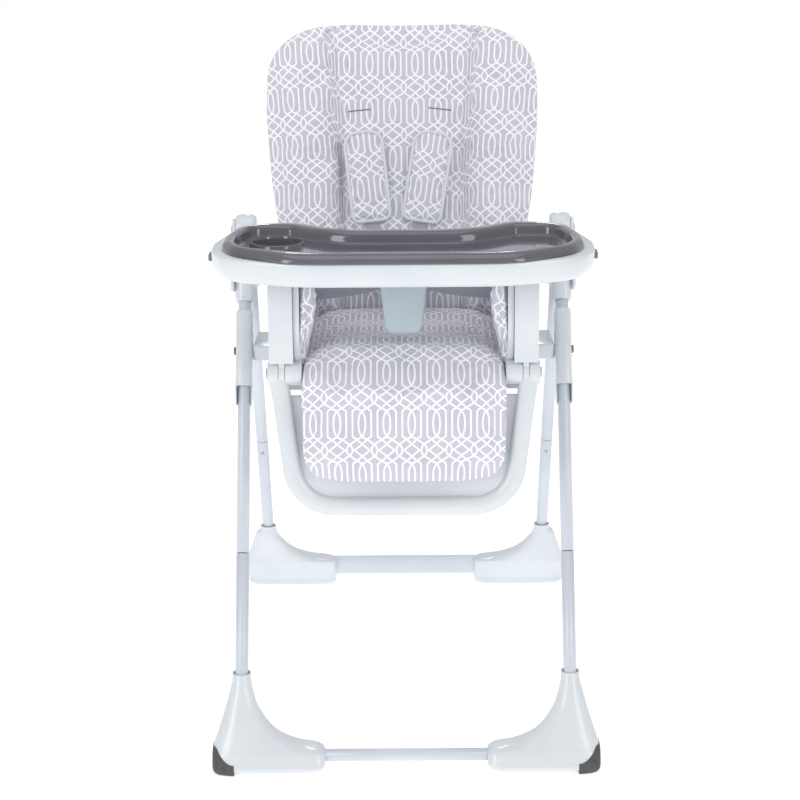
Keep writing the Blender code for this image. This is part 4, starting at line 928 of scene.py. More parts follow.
# %% White lower tray
CEILING_Z = SEAM_Z - 0.0165
LATCH_GAP, LATCH_TRAVEL = 0.0006, 0.0020
outer_wall = [(0.0205, SEAM_Z - 0.0133), (0.0205, SEAM_Z - 0.0002), (0.0024, SEAM_Z - 0.0002),
              (0.0012, SEAM_Z - 0.0010), (0.0006, SEAM_Z - 0.0030), (0.0004, SEAM_Z - 0.0100),
              (0.0010, SEAM_Z - 0.0180), (0.0026, SEAM_Z - 0.0255), (0.0056, SEAM_Z - 0.0315),
              (0.0095, SEAM_Z - 0.0350), (0.0135, BASE_LOW_Z + 0.0006), (0.0165, BASE_LOW_Z),
              (0.0185, BASE_LOW_Z + 0.0010), (0.0180, BASE_LOW_Z + 0.0030), (0.0130, BASE_LOW_Z + 0.0058),
              (0.0085, BASE_LOW_Z + 0.0105), (0.0060, CEILING_Z - 0.0030), (0.0070, CEILING_Z - 0.0008),
              (0.0095, CEILING_Z)]
wall = round_the_tray(outer_wall)
base_points = np.concatenate([closing_rows(wall[0], FLOOR_SHARES)[::-1], wall,
                              closing_rows(wall[-1], FLOOR_SHARES)])
tray_base = surface("tray_base_moulded", base_points, WHITE)
hole(tray_base, CUP_R + 0.0030, CUP_MIDDLE, CUT_LOW, CUT_HIGH)


def latch_pocket(obj, side):
    """Cuts the latch's slot into the tray's wall: the latch's box, plus a gap and its travel inward."""
    near, far = LATCH_LOW[0] - LATCH_TRAVEL - LATCH_GAP, LATCH_HIGH[0] + 0.010
    low = np.array([min(side * near, side * far), LATCH_LOW[1] - LATCH_GAP, LATCH_LOW[2] - LATCH_GAP])
    high = np.array([max(side * near, side * far), LATCH_HIGH[1] + LATCH_GAP, LATCH_HIGH[2] + LATCH_GAP])
    level = ((low[0], low[1]), (high[0], low[1]), (high[0], high[1]), (low[0], high[1]))
    corners = [(x, y, z) for z in (low[2], high[2]) for x, y in level]
    mesh = bpy.data.meshes.new("pocket")
    mesh.from_pydata([tuple(map(float, corner)) for corner in corners], [],
                     [(3, 2, 1, 0), (4, 5, 6, 7), (0, 1, 5, 4), (1, 2, 6, 5), (2, 3, 7, 6), (3, 0, 4, 7)])
    cutter = bpy.data.objects.new("pocket", mesh)
    bpy.context.scene.collection.objects.link(cutter)
    boolean = obj.modifiers.new("pocket", "BOOLEAN")
    boolean.object, boolean.operation, boolean.solver = cutter, "DIFFERENCE", "EXACT"
    applied(obj)
    bpy.data.objects.remove(cutter)


for _, side in SIDES:
    latch_pocket(tray_base, side)
placed(crease(tray_base, 40.0), "tray", ["tray_base"])

# %% [markdown]
# The crotch post hangs under the tray between the child's legs. It narrows downward in a gentle curve and
# ends in a round edge: level sections again, each a squarish superellipse.

# %% Crotch post
post_low, post_high = (np.array(corner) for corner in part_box("crotch_post"))
drop = np.array([0.0, 0.10, 0.25, 0.42, 0.60, 0.76, 0.86, 0.93, 0.97, 0.992, 1.0])[:, None]
narrow = 1.0 - 0.33 * drop ** 0.85
tuck = np.sqrt(np.clip(1.0 - np.clip((drop - 0.86) / 0.14, 0.0, 1.0) ** 2, 0.0, 1.0))
angle = np.linspace(0.0, 2.0 * np.pi, 64, endpoint=False)[None, :]
half_x, half_y = post_high[0], (post_high[1] - post_low[1]) / 2
squared = 5.0
c, s = np.cos(angle), np.sin(angle)
post_x = (half_x * narrow - 0.010 * (1 - tuck)) * np.sign(c) * np.abs(c) ** (2.0 / squared)
post_y = (post_low[1] + half_y) + (half_y * (1.0 - 0.25 * drop)
                                   - 0.006 * (1 - tuck)) * np.sign(s) * np.abs(s) ** (2.0 / squared)
post_z = np.broadcast_to(post_high[2] - (post_high[2] - post_low[2]) * drop, post_x.shape)
# The post's darker blue-white finish is painted shade.
post = surface("crotch_post_moulded", np.stack([post_x, post_y, post_z], -1), POST_WHITE_PAINTED_SHADE)
placed(crease(post, 50.0), "tray", ["crotch_post"])
print("tray base and crotch post")

# %% [markdown]
# The footrest is a U of thick moulded rail that narrows downward, with a thin panel inside it and a hinge
# knuckle at the top of each arm. It leans forward a little from the knee axis. The rail is a soft-cornered
# section with a raised ridge, carried along the U; it is drawn in the footrest's own plane, where x is
# across, w runs up from the knee axis and n points back into the chair, and is then turned to its lean.

# %% Footrest rail
FOOTREST_LEAN = np.radians(8.8)
KNUCKLE_R = 0.0180
REST_TOP_HALF, REST_LOW_HALF, REST_CORNER = 0.2030, 0.1760, 0.080
RAIL_HALF_W, RAIL_HALF_D = 0.0145, 0.0140
REST_LENGTH = 0.2175


def in_footrest(x, n, w):
    """Points of the footrest's plane in the chair's frame: turned about the knee axis by the lean."""
    c, s = np.cos(FOOTREST_LEAN), np.sin(FOOTREST_LEAN)
    return np.stack(np.broadcast_arrays(x, KNEE[1] + n * c + w * s, KNEE[2] - n * s + w * c), -1)


def u_path(inset, top, count):
    """Even points down one arm, round the two lower corners and up the other, moved inward by the inset."""
    corner = REST_CORNER - inset
    low = -REST_LENGTH + inset
    arm = np.array([REST_TOP_HALF - inset, top]) - np.array([REST_LOW_HALF - inset, low])
    arm = arm / np.linalg.norm(arm)
    half = np.arccos(-arm[0]) / 2
    corner_at = np.array([REST_LOW_HALF - inset, low])
    first = corner_at + arm * corner / np.tan(half)
    last = corner_at + np.array([-1.0, 0.0]) * corner / np.tan(half)
    centre = last + np.array([0.0, corner])
    turn = np.linspace(0.0, 1.0, 40)[:, None]
    mixed = (first - centre) * (1 - turn) + (last - centre) * turn
    right = np.concatenate([[[REST_TOP_HALF - inset, top]],
                            centre + mixed / np.linalg.norm(mixed, axis=1, keepdims=True) * corner])
    path = np.concatenate([right, right[::-1] * [-1.0, 1.0]])
    run = np.concatenate([[0.0], np.cumsum(np.linalg.norm(np.diff(path, axis=0), axis=1))])
    at = np.linspace(0.0, run[-1], count)
    return np.stack([np.interp(at, run, path[:, i]) for i in (0, 1)], -1)


def rail_section(angle):
    """A squarish superellipse whose front carries a ridge, 2.2 mm times cos^2 of the way from its middle."""
    a, n = flat_oval(angle, RAIL_HALF_W, RAIL_HALF_D, 3.4)
    ridge = np.where(n < 0, 0.0022 * np.cos(np.clip(a / RAIL_HALF_W * 1.15, -1.0, 1.0) * np.pi / 2) ** 2, 0.0)
    return a, n - ridge + 0.0015 * (n < 0)


path = u_path(RAIL_HALF_W, -0.004, 220)
way = np.gradient(path, axis=0)
way = way / np.linalg.norm(way, axis=1, keepdims=True)
side_step = np.stack([-way[:, 1], way[:, 0]], -1)
section_a, section_n = rail_section(np.linspace(0.0, 2.0 * np.pi, 40, endpoint=False))
rail_x = path[:, :1] + side_step[:, :1] * section_a
rail_w = path[:, 1:] + side_step[:, 1:] * section_a
rail = surface("footrest_rail", in_footrest(rail_x, np.broadcast_to(section_n, rail_x.shape), rail_w), WHITE)
placed(crease(rail, 60.0), "footrest", ["footrest_frame"])

# %% [markdown]
# The panel fills the U with a thin sheet, dished a little where it meets the rail. The knuckles are short
# barrels on the knee axis, an inner and an outer one on each side, with the armrest's eye between them.

# %% Footrest panel and knuckles
PANEL_FRONT, PANEL_BACK, PANEL_TOP = 0.0038, 0.0085, -0.034
PIN_BORE_R = 0.0041
loop = u_path(2 * RAIL_HALF_W - 0.004, PANEL_TOP, 160)
dish = np.array([0.0, 0.02, 0.06, 0.12, 0.22, 0.40, 0.65, 0.92])[:, None]
centre_line = np.stack([loop[:, 0] * 0.25, np.clip(loop[:, 1], -0.14, PANEL_TOP)], -1)
panel_x = loop[:, 0] + (centre_line[:, 0] - loop[:, 0]) * dish
panel_w = loop[:, 1] + (centre_line[:, 1] - loop[:, 1]) * dish
panel_n = PANEL_FRONT - 0.0075 * (1 - np.clip(dish / 0.22, 0.0, 1.0)) ** 2 + np.zeros_like(panel_x)
front_sheet = in_footrest(panel_x, panel_n, panel_w)
back_sheet = in_footrest(panel_x, np.full_like(panel_x, PANEL_BACK), panel_w)
# The panel's lighter finish is painted light.
panel = surface("footrest_panel", np.concatenate([front_sheet[::-1], back_sheet]), PANEL_WHITE_PAINTED_LIGHT)
placed(crease(panel, 50.0), "footrest")


def knuckle(name, side, inner, outer, radius):
    """A barrel of the hinge with rounded rims, turned about the knee axis."""
    edge = 0.0018
    length = outer - inner
    profile = [(PIN_BORE_R, 0.0), (radius - edge, 0.0), (radius - edge * 0.3, edge * 0.3), (radius, edge),
               (radius, length - edge), (radius - edge * 0.3, length - edge * 0.3), (radius - edge, length),
               (PIN_BORE_R, length), (PIN_BORE_R, 0.0)]
    start = np.array([side * inner, KNEE[1], KNEE[2]])
    piece = turned_along(name, start, np.array([side, 0.0, 0.0]), profile, WHITE, 56)
    return placed(crease(piece, 50.0), "footrest")


for side_name, side in SIDES:
    knuckle(f"knuckle_inner_{side_name}", side, 0.1530, 0.1782, KNUCKLE_R)
    knuckle(f"knuckle_outer_{side_name}", side, 0.1883, 0.2045, KNUCKLE_R)
print("footrest rail, panel and 4 knuckles")

# %% [markdown]
# The seat's cover is one piece of padded cloth: it lies on the seat, rolls over the front edge and hangs down
# the footrest. So it is one shape between two lines seen from the side, the outer face and the lining, and
# every row across it is a cushion's section, full in the middle and round at both edges. A cloth simulation
# then fills it with air, while the lining and the edges are held, which swells it and puckers the cloth.

# %% Padded cloth
EDGE_ROUND = 3.2


def even_path(points, count):
    """Even points along a smooth curve through a few chosen ones: Catmull-Rom pieces, then equal steps."""
    p = np.array(points, float)
    p = np.concatenate([[2 * p[0] - p[1]], p, [2 * p[-1] - p[-2]]])
    t = np.linspace(0.0, 1.0, 24, endpoint=False)[:, None]
    pieces = [0.5 * (2 * b + (c - a) * t + (2 * a - 5 * b + 4 * c - d) * t * t
                     + (3 * b - a - 3 * c + d) * t ** 3)
              for a, b, c, d in zip(p, p[1:], p[2:], p[3:])]
    path = np.concatenate([*pieces, p[-2:-1]])
    run = np.concatenate([[0.0], np.cumsum(np.linalg.norm(np.diff(path, axis=0), axis=1))])
    at = np.linspace(0.0, run[-1], count)
    return np.stack([np.interp(at, run, path[:, i]) for i in range(p.shape[1])], -1), at


def pad_grid(outer, lining, half_width, fullness, columns=61):
    """Both faces of a pad as grids. At u across, each face leaves the pad's middle by fullness times
    (1 - |u|^p)^(1/p) of half its thickness, so that the faces meet at the edges."""
    u = np.sin(np.linspace(-np.pi / 2, np.pi / 2, columns))
    full = (1.0 - np.abs(u) ** EDGE_ROUND) ** (1.0 / EDGE_ROUND) * fullness[:, None]
    middle, half = (outer + lining) / 2, (outer - lining) / 2
    x = u * half_width[:, None]
    faces = []
    for sign in (1.0, -1.0):
        yz = middle[:, None, :] + sign * half[:, None, :] * full[..., None]
        faces.append(np.concatenate([x[..., None], yz], -1))
    return faces


def pad(name, front, back, uv, finish):
    """A closed pad from its two faces, merged where they meet, with the cloth's map on both."""
    rows, columns = front.shape[:2]
    points = np.concatenate([front.reshape(-1, 3), back.reshape(-1, 3)])
    quads = ring_faces(rows, columns, False)
    faces = np.concatenate([quads, quads[:, ::-1] + rows * columns])
    mesh = bpy.data.meshes.new(name)
    mesh.from_pydata(points.tolist(), [], faces.tolist())
    layer = mesh.uv_layers.new(name="cloth")
    loops = np.empty(len(mesh.loops), int)
    mesh.loops.foreach_get("vertex_index", loops)
    layer.data.foreach_set("uv",
                           np.concatenate([uv.reshape(-1, 2)] * 2)[loops].astype(np.float32).reshape(-1))
    held = mesh.attributes.new("held", "FLOAT", "POINT")
    held.data.foreach_set("value", np.repeat([0.0, 1.0], rows * columns).astype(np.float32))
    mesh.polygons.foreach_set("use_smooth", [True] * len(mesh.polygons))
    mesh.materials.append(finish)
    obj = bpy.data.objects.new(name, mesh)
    bpy.context.scene.collection.objects.link(obj)
    weld = obj.modifiers.new("weld", "WELD")
    weld.merge_threshold = 0.00005
    applied(obj)
    face_out(obj.data)
    return obj


def filled_with_air(obj, free, pressure, cap, swell=0.03, frames=18):
    """Runs the cloth with air in it. Points whose share in free is 0 are held, the cloth is a little too
    large for its shape so that it puckers, and no point moves further than the cap."""
    rest = np.empty(len(obj.data.vertices) * 3)
    obj.data.vertices.foreach_get("co", rest)
    rest = rest.reshape(-1, 3)
    loose = free(rest)
    group = obj.vertex_groups.new(name="held")
    for share in np.unique(np.round(1.0 - loose, 1)):
        group.add(np.flatnonzero(np.round(1.0 - loose, 1) == share).tolist(), float(share), "REPLACE")
    cloth = obj.modifiers.new("cloth", "CLOTH")
    cloth.settings.vertex_group_mass = "held"
    cloth.settings.use_pressure = True
    cloth.settings.uniform_pressure_force = pressure
    cloth.settings.effector_weights.gravity = 0.0
    cloth.settings.shrink_min = -swell
    cloth.settings.quality = 5
    cloth.settings.bending_stiffness = 0.4
    cloth.collision_settings.use_collision = False
    for step in range(1, frames + 1):
        bpy.context.scene.frame_set(step)
    applied(obj)
    bpy.context.scene.frame_set(1)
    moved = np.empty(len(obj.data.vertices) * 3)
    obj.data.vertices.foreach_get("co", moved)
    step = moved.reshape(-1, 3) - rest
    length = np.linalg.norm(step, axis=1, keepdims=True)
    step = step * np.minimum(1.0, cap / np.maximum(length, 1e-9)) * np.ceil(loose)[:, None]
    obj.data.vertices.foreach_set("co", (rest + step).reshape(-1))
    obj.vertex_groups.clear()
    print(f"{obj.name}: {len(rest)} points, moved up to {1000 * np.linalg.norm(step, axis=1).max():.1f} mm")
    return obj


def held_share(obj):
    """Share of each point that belongs to the lining, from the mesh's own attribute."""
    values = np.empty(len(obj.data.vertices), np.float32)
    obj.data.attributes["held"].data.foreach_get("value", values)
    return values


# %% [markdown]
# The cover's two lines are given by a few points each: fore and aft and height on the seat, and the same
# places measured in the footrest's plane below the knee.

# %% Seat and calf cover
SEAT_TOP_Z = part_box("seat_pad")[1][2]
SEAT_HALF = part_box("seat_pad")[1][0]
BASE_TOP_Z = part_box("seat_base")[0][2] + 0.0140
CALF_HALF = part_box("calf_pad")[1][0]
CALF_N_BACK, CALF_END = -0.0105, -0.1600
COVER_ROWS = 120
COVER_CORNER = 0.046


def calf(n, w):
    """A point of the cover's side view, given in the footrest's plane: how far back, and how far up."""
    return in_footrest(0.0, n, w)[1:]


outer_points = [(0.024, SEAT_TOP_Z - 0.014), (0.010, SEAT_TOP_Z - 0.001), (-0.060, SEAT_TOP_Z - 0.002),
                (-0.140, SEAT_TOP_Z), (-0.200, SEAT_TOP_Z + 0.002), (-0.238, SEAT_TOP_Z),
                (-0.262, SEAT_TOP_Z - 0.0080), calf(-0.0350, -0.006), calf(-0.0365, -0.050),
                calf(-0.0362, -0.100), calf(-0.0335, -0.140), calf(-0.0250, CALF_END)]
lining_points = [(0.018, SEAT_TOP_Z - 0.032), (0.006, BASE_TOP_Z + 0.0012), (-0.060, BASE_TOP_Z + 0.0008),
                 (-0.140, BASE_TOP_Z + 0.0008), (-0.200, BASE_TOP_Z + 0.0008), (-0.228, BASE_TOP_Z + 0.0010),
                 (-0.240, BASE_TOP_Z - 0.002), calf(-0.0080, -0.030), calf(-0.0078, -0.055),
                 calf(CALF_N_BACK, -0.100), calf(CALF_N_BACK, -0.140), calf(-0.0180, CALF_END + 0.001)]
outer_line, cover_run = even_path(outer_points, COVER_ROWS)
lining_line, _ = even_path(lining_points, COVER_ROWS)
cover_share = np.linspace(0.0, 1.0, COVER_ROWS)
cover_half = np.interp(cover_share, [0.0, 0.03, 0.55, 0.72, 1.0],
                       [SEAT_HALF, SEAT_HALF + 0.003, SEAT_HALF + 0.003,
                        CALF_HALF + 0.0040, CALF_HALF + 0.0010])
from_end = np.clip((cover_run[-1] - cover_run) / COVER_CORNER, 0.0, 1.0)
cover_half = cover_half - COVER_CORNER * (1.0 - np.sqrt(1.0 - (1.0 - from_end) ** 2))
fullness = np.minimum(1.0, 0.25 + np.minimum(cover_run, cover_run[-1] - cover_run) / 0.016) ** 0.5
cover_front, cover_back = pad_grid(outer_line, lining_line, cover_half, fullness)
CALF_ROW_CENTRE = cover_run[-1] - (0.1600 - 0.0298)
CELL_SHIFT = 0.30 * CELL_W
cover_uv = np.stack([cover_front[..., 0] - CELL_SHIFT,
                     np.broadcast_to((CALF_ROW_CENTRE - cover_run)[:, None], cover_front.shape[:2])], -1)
cover = pad("seat_and_calf_cover", cover_front, cover_back, cover_uv, PRINTED)


def cover_free(points):
    """Free on the outer face, held on the lining and near the edges."""
    inside = np.clip((SEAT_HALF - 0.006 - np.abs(points[:, 0])) / 0.010, 0.0, 1.0)
    return inside * (held_share(cover) < 0.5)


filled_with_air(cover, cover_free, 2.2, 0.006)
with_modifiers(cover, subdivide=1)
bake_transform(cover)
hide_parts("seat_pad", "calf_pad")
print(f"cover: {COVER_ROWS} rows over {cover_run[-1] * 1000:.0f} mm of cloth")

# %% [markdown]
# The backrest's pad has a flat middle and two side panels that stand forward like a bolster, joined by two
# seams that draw in from the top. The seams are held in the simulation, so the cloth dips along them. The
# pad is drawn in the back's own plane: x across, h up from the recline axis and n back from the plane. The
# cloth reaches lower than its shell, behind the seat cover.

# %% Backrest pad
BACK_LEAN = np.radians(20.0)
BACK_TOP, BACK_START = 0.479, 0.012
PAD_START = -0.008
PAD_FRONT, PAD_BACK = -0.034, -0.0085
BOLSTER_RISE, SEAM_DIP = 0.025, 0.0115
BACK_ROWS, SEAM_COLUMN, EDGE_COLUMNS = 131, 22, 28


def in_back(x, n, h):
    """Points of the back's plane in the chair's frame: turned about the recline axis by the lean."""
    c, s = np.cos(BACK_LEAN), np.sin(BACK_LEAN)
    return np.stack(np.broadcast_arrays(x, RECLINE[1] + n * c + h * s, RECLINE[2] - n * s + h * c), -1)


def back_half_width(h):
    """Half the pad's width at a height: a smooth curve through waist and shoulders, with round corners."""
    side = smooth_through((-0.01, 0.02, 0.06, 0.150, 0.25, 0.345, 0.420, BACK_TOP),
                          (0.147, 0.158, 0.180, 0.2045, 0.2175, 0.2230, 0.2210, 0.2150), h)
    top = np.clip((h - (BACK_TOP - 0.095)) / 0.095, 0.0, 1.0)
    low = np.clip((PAD_START + 0.010 - h) / 0.010, 0.0, 1.0)
    return side - 0.097 * (1.0 - np.sqrt(1.0 - top ** 2.3)) - 0.010 * (1.0 - np.sqrt(1.0 - low ** 2))


def seam_x(h):
    """The seams: 98 mm from the middle low down, 124 mm at the top, bending outward on the way up."""
    return 0.098 + 0.026 * np.clip((h - 0.20) / (BACK_TOP - 0.20), 0.0, 1.0) ** 1.5


turn = np.linspace(0.0, 1.0, BACK_ROWS)
heights = (PAD_START + (BACK_TOP - PAD_START) * (1.0 - (1.0 - turn) ** 1.35))[:, None]
inner_u = np.linspace(-1.0, 1.0, 2 * SEAM_COLUMN + 1)[None, :]
outer_u = np.sin(np.linspace(0.0, np.pi / 2, EDGE_COLUMNS + 1)[1:])[None, :]
width, seam = back_half_width(heights), np.minimum(seam_x(heights), back_half_width(heights) * 0.72)
right_part = seam + (width - seam) * outer_u
back_x = np.concatenate([-right_part[:, ::-1], seam * inner_u, right_part], 1)
share = back_x / width
from_end = np.minimum(heights - PAD_START, BACK_TOP - heights) + 0.0008
edge_full = (1.0 - np.abs(np.clip(share, -1.0, 1.0)) ** 4.0) ** 0.25
edge_full = edge_full * np.minimum(1.0, from_end / 0.018) ** 0.5
beyond = np.clip((np.abs(back_x) - seam) / (width - seam), 0.0, 1.0)
under_top = np.clip((BACK_TOP - 0.05 - heights) / 0.16, 0.0, 1.0) ** 0.7
bolster = BOLSTER_RISE * np.sin(np.pi * beyond ** 0.75) ** 1.2 * under_top
dip = SEAM_DIP * np.exp(-((np.abs(back_x) - seam) / 0.0045) ** 2)
middle_n, half_n = (PAD_FRONT + PAD_BACK) / 2, (PAD_BACK - PAD_FRONT) / 2
front_n = middle_n - (half_n * edge_full) - (bolster - dip) * edge_full
back_n = middle_n + half_n * edge_full
BACK_ROW_CENTRE = 0.3723
stretch = np.cumsum(np.concatenate([np.zeros((BACK_ROWS, 1)),
                                    np.hypot(np.diff(back_x, axis=1), np.diff(front_n, axis=1))], 1), 1)
stretch = stretch - stretch[:, stretch.shape[1] // 2:stretch.shape[1] // 2 + 1]
side_rise = 0.018 * (beyond > 0)
back_uv = np.stack([stretch + 0.42 * CELL_W, heights - BACK_ROW_CENTRE - side_rise], -1)
front_face, back_face = in_back(back_x, front_n, heights), in_back(back_x, back_n, heights)
back_pad = pad("backrest_pad", front_face, back_face, back_uv, PRINTED)


def back_free(points):
    """Free on the front face, away from the two seams and the outer edge."""
    h = (points[:, 1] - RECLINE[1]) * np.sin(BACK_LEAN) + (points[:, 2] - RECLINE[2]) * np.cos(BACK_LEAN)
    from_seam = np.clip(np.abs(np.abs(points[:, 0]) - seam_x(h)) / 0.008, 0.0, 1.0)
    from_edge = np.clip((back_half_width(h) - np.abs(points[:, 0]) - 0.004) / 0.010, 0.0, 1.0)
    return np.nan_to_num(np.minimum(from_seam, from_edge)) * (held_share(back_pad) < 0.5)


filled_with_air(back_pad, back_free, 2.0, 0.007)
with_modifiers(back_pad, subdivide=1)
placed(back_pad, "backrest", ["back_pad"])
print(f"back pad: {BACK_ROWS} by {back_x.shape[1]} points a face")

# %% [markdown]
# The back's moulded shell shows from behind. It is a shallow dome that follows the pad's outline, with five
# upright ribs to stiffen it and a pocket for the hand that squeezes the recline handle. A height over the
# back's plane is worked out for every point, and the front is a plain sheet behind the pad.

# %% Back shell
SHELL_FRONT = PAD_BACK + 0.0003
SHELL_FLOOR, RIB_RISE = 0.0040, 0.0035
RIBS_AT = (-0.12, -0.06, 0.0, 0.06, 0.12)
HANDLE_LOW, HANDLE_HIGH = 0.280, 0.306
POCKET_HALF, POCKET_ROUND = 0.078, 0.010


def into_pocket(x, h):
    """1 inside the hand pocket and 0 outside, with a slope 10 mm wide, from the distance to a box."""
    dx = np.maximum(np.abs(x) - POCKET_HALF + POCKET_ROUND, 0.0)
    dh = np.maximum(np.abs(h - (HANDLE_LOW + HANDLE_HIGH + 0.010) / 2) - 0.040 + POCKET_ROUND, 0.0)
    t = np.clip(1.0 - np.hypot(dx, dh) / POCKET_ROUND, 0.0, 1.0)
    return t * t * (3 - 2 * t)


way_up = (1.0 - np.cos(np.linspace(0.0, np.pi, 141)))[:, None] / 2
shell_h = BACK_START + 0.007 + (BACK_TOP - BACK_START - 0.014) * way_up
shell_u = np.sin(np.linspace(-np.pi / 2, np.pi / 2, 121))[None, :]
shell_half = back_half_width(shell_h) - 0.007
shell_x = shell_u * shell_half
ends = np.minimum(shell_h - shell_h[0], shell_h[-1] - shell_h) / 0.020
rounded_off = (1.0 - np.abs(shell_u) ** 9) ** (1 / 2.5) * np.clip(ends, 0.0, 1.0) ** 0.4
ribs = sum(np.exp(-((shell_x - at) / 0.0045) ** 2) for at in RIBS_AT)
fade = np.clip((shell_half - np.abs(shell_x)) / 0.04, 0.0, 1.0) * np.clip(ends / 2, 0.0, 1.0)
dome = (0.0095 + RIB_RISE * np.minimum(ribs, 1.0) * fade) * rounded_off
pocket = into_pocket(shell_x, shell_h)
shell_back = SHELL_FRONT + dome * (1 - pocket) + SHELL_FLOOR * pocket
front_sheet = in_back(shell_x, np.full_like(shell_x, SHELL_FRONT), shell_h)
back_sheet = in_back(shell_x, np.maximum(shell_back, SHELL_FRONT + 0.0002 * rounded_off), shell_h)
flat_uv = np.zeros((*shell_x.shape, 2))
shell = pad("back_shell_moulded", front_sheet, back_sheet, flat_uv, WHITE)
placed(crease(shell, 50.0), "backrest", ["back_shell"])


def block(name, low, high, place, finish, power=6.0):
    """A rounded block: level squarish sections between two corners, whose ends draw in like the sides do."""
    low, high = np.array(low, float), np.array(high, float)
    middle, half = (low + high) / 2, (high - low) / 2
    polar = np.linspace(-np.pi / 2, np.pi / 2, 25)[:, None]
    angle = np.linspace(0.0, 2.0 * np.pi, 48, endpoint=False)[None, :]
    e = 2.0 / power
    ring = np.abs(np.cos(polar)) ** e
    c, s = np.cos(angle), np.sin(angle)
    x = middle[0] + half[0] * ring * np.sign(c) * np.abs(c) ** e
    n = middle[1] + half[1] * ring * np.sign(s) * np.abs(s) ** e
    h = middle[2] + half[2] * np.sign(np.sin(polar)) * np.abs(np.sin(polar)) ** e + np.zeros_like(x)
    return crease(surface(name, place(x, n, h), finish), 60.0)


LUG_X, EAR_OUT, AXLE_R = (0.1300, 0.1490), 0.1610, 0.0040
axle_end = EAR_OUT - LUG_X[1] + 0.004
for side_name, side in SIDES:
    low, high = sorted((side * LUG_X[0], side * LUG_X[1]))
    placed(block(f"recline_lug_{side_name}", (low, -0.010, -0.011), (high, 0.0100, 0.045), in_back, WHITE),
           "backrest")
    axle = turned_along(f"recline_axle_{side_name}", in_back(side * (LUG_X[1] - 0.004), 0.0, 0.0),
                        np.array([side, 0.0, 0.0]),
                        [(0.0001, 0.0), (AXLE_R, 0.0), (AXLE_R, axle_end - 0.001),
                         (AXLE_R - 0.0006, axle_end), (0.0001, axle_end)], ZINC, 32)
    placed(crease(axle, 50.0), "backrest")
    low, high = sorted((side * 0.0558, side * 0.0640))
    guide = block(f"handle_guide_{side_name}", (low, SHELL_FRONT + 0.002, 0.270),
                  (high, SHELL_FRONT + SHELL_FLOOR + 0.016, 0.325), in_back, WHITE)
    placed(guide, "backrest")
print("back shell with ribs, pocket, lugs and guides")

# %% [markdown]
# The seat's padded sides stand against the armrests. Each is a panel whose front edge is thick at the top and
# thin at the bottom, sewn all round with a light grey binding. It is filled with air like the cover, with
# more spare cloth, because the real ones crease where they turn inward.

# %% Padded sides
WING_LOW, WING_HIGH = (np.array(corner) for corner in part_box("side_wing_right"))
WING_ROWS, WING_COLUMNS = 61, 71
WING_TOP = TRAY_LOW[2] - 0.0085
WING_REAR = WING_HIGH[1] + 0.0190
WING_LEAST, WING_MORE, WING_THIN_BELOW = 0.0125, 0.0290, 0.612


def side_panel(side_name, side):
    """A panel between a flat outer face and an inner face that stands further in toward the top and front."""
    v = np.sin(np.linspace(-np.pi / 2, np.pi / 2, WING_ROWS))[:, None] * 0.5 + 0.5
    u = np.sin(np.linspace(-np.pi / 2, np.pi / 2, WING_COLUMNS))[None, :] * 0.5 + 0.5
    z = BASE_TOP_Z + 0.004 + (WING_TOP - BASE_TOP_Z - 0.004) * v
    front = np.interp(v, [0.0, 0.18, 0.5, 1.0],
                      [KNEE[1] + 0.028, KNEE[1] + 0.010, WING_LOW[1] + 0.002, WING_LOW[1] + 0.008])
    y = front + (WING_REAR - front) * u
    forward = np.clip((-0.120 - y) / 0.110, 0.0, 1.0)
    high_up = np.clip((z - WING_THIN_BELOW) / (WING_TOP - WING_THIN_BELOW), 0.0, 1.0)
    thick = WING_LEAST + WING_MORE * high_up * forward * forward * (3 - 2 * forward)
    full = ((1.0 - np.abs(2 * u - 1) ** 7) ** (1 / 2.2)) * ((1.0 - np.abs(2 * v - 1) ** 9) ** (1 / 2.2))
    outer_x = WING_HIGH[0] - 0.0005
    middle_x = outer_x - thick / 2
    outer, inner = (np.stack(np.broadcast_arrays(side * (middle_x + sign * thick / 2 * full), y, z), -1)
                    for sign in (1.0, -1.0))
    run = np.cumsum(np.concatenate([np.zeros((WING_ROWS, 1)),
                                    np.linalg.norm(np.diff(inner[..., :2], axis=1), axis=2)], 1), 1)
    uv = np.stack([run, z - 0.590 + 0.0 * run], -1)
    obj = pad(f"padded_side_{side_name}", inner, outer, uv, PRINTED)

    def free(points):
        """Free on the inner face, away from the seam with the outer one."""
        inside = np.clip((outer_x - 0.004 - np.abs(points[:, 0])) / 0.006, 0.0, 1.0)
        return inside * (held_share(obj) < 0.5)

    filled_with_air(obj, free, 3.0, 0.0055, swell=0.11)
    with_modifiers(obj, subdivide=1)
    placed(obj, "seat", [f"side_wing_{side_name}"])
    edge = np.stack([np.full(WING_ROWS, side * (outer_x - 0.0018)), (front - 0.0012)[:, 0], z[:, 0]], -1)
    top_y = np.linspace(front[-1, 0] - 0.0012, WING_REAR, 40)[1:]
    top = np.stack([np.full(39, side * (outer_x - 0.0018)), top_y, np.full(39, WING_TOP + 0.0008)], -1)
    return np.concatenate([edge, top])


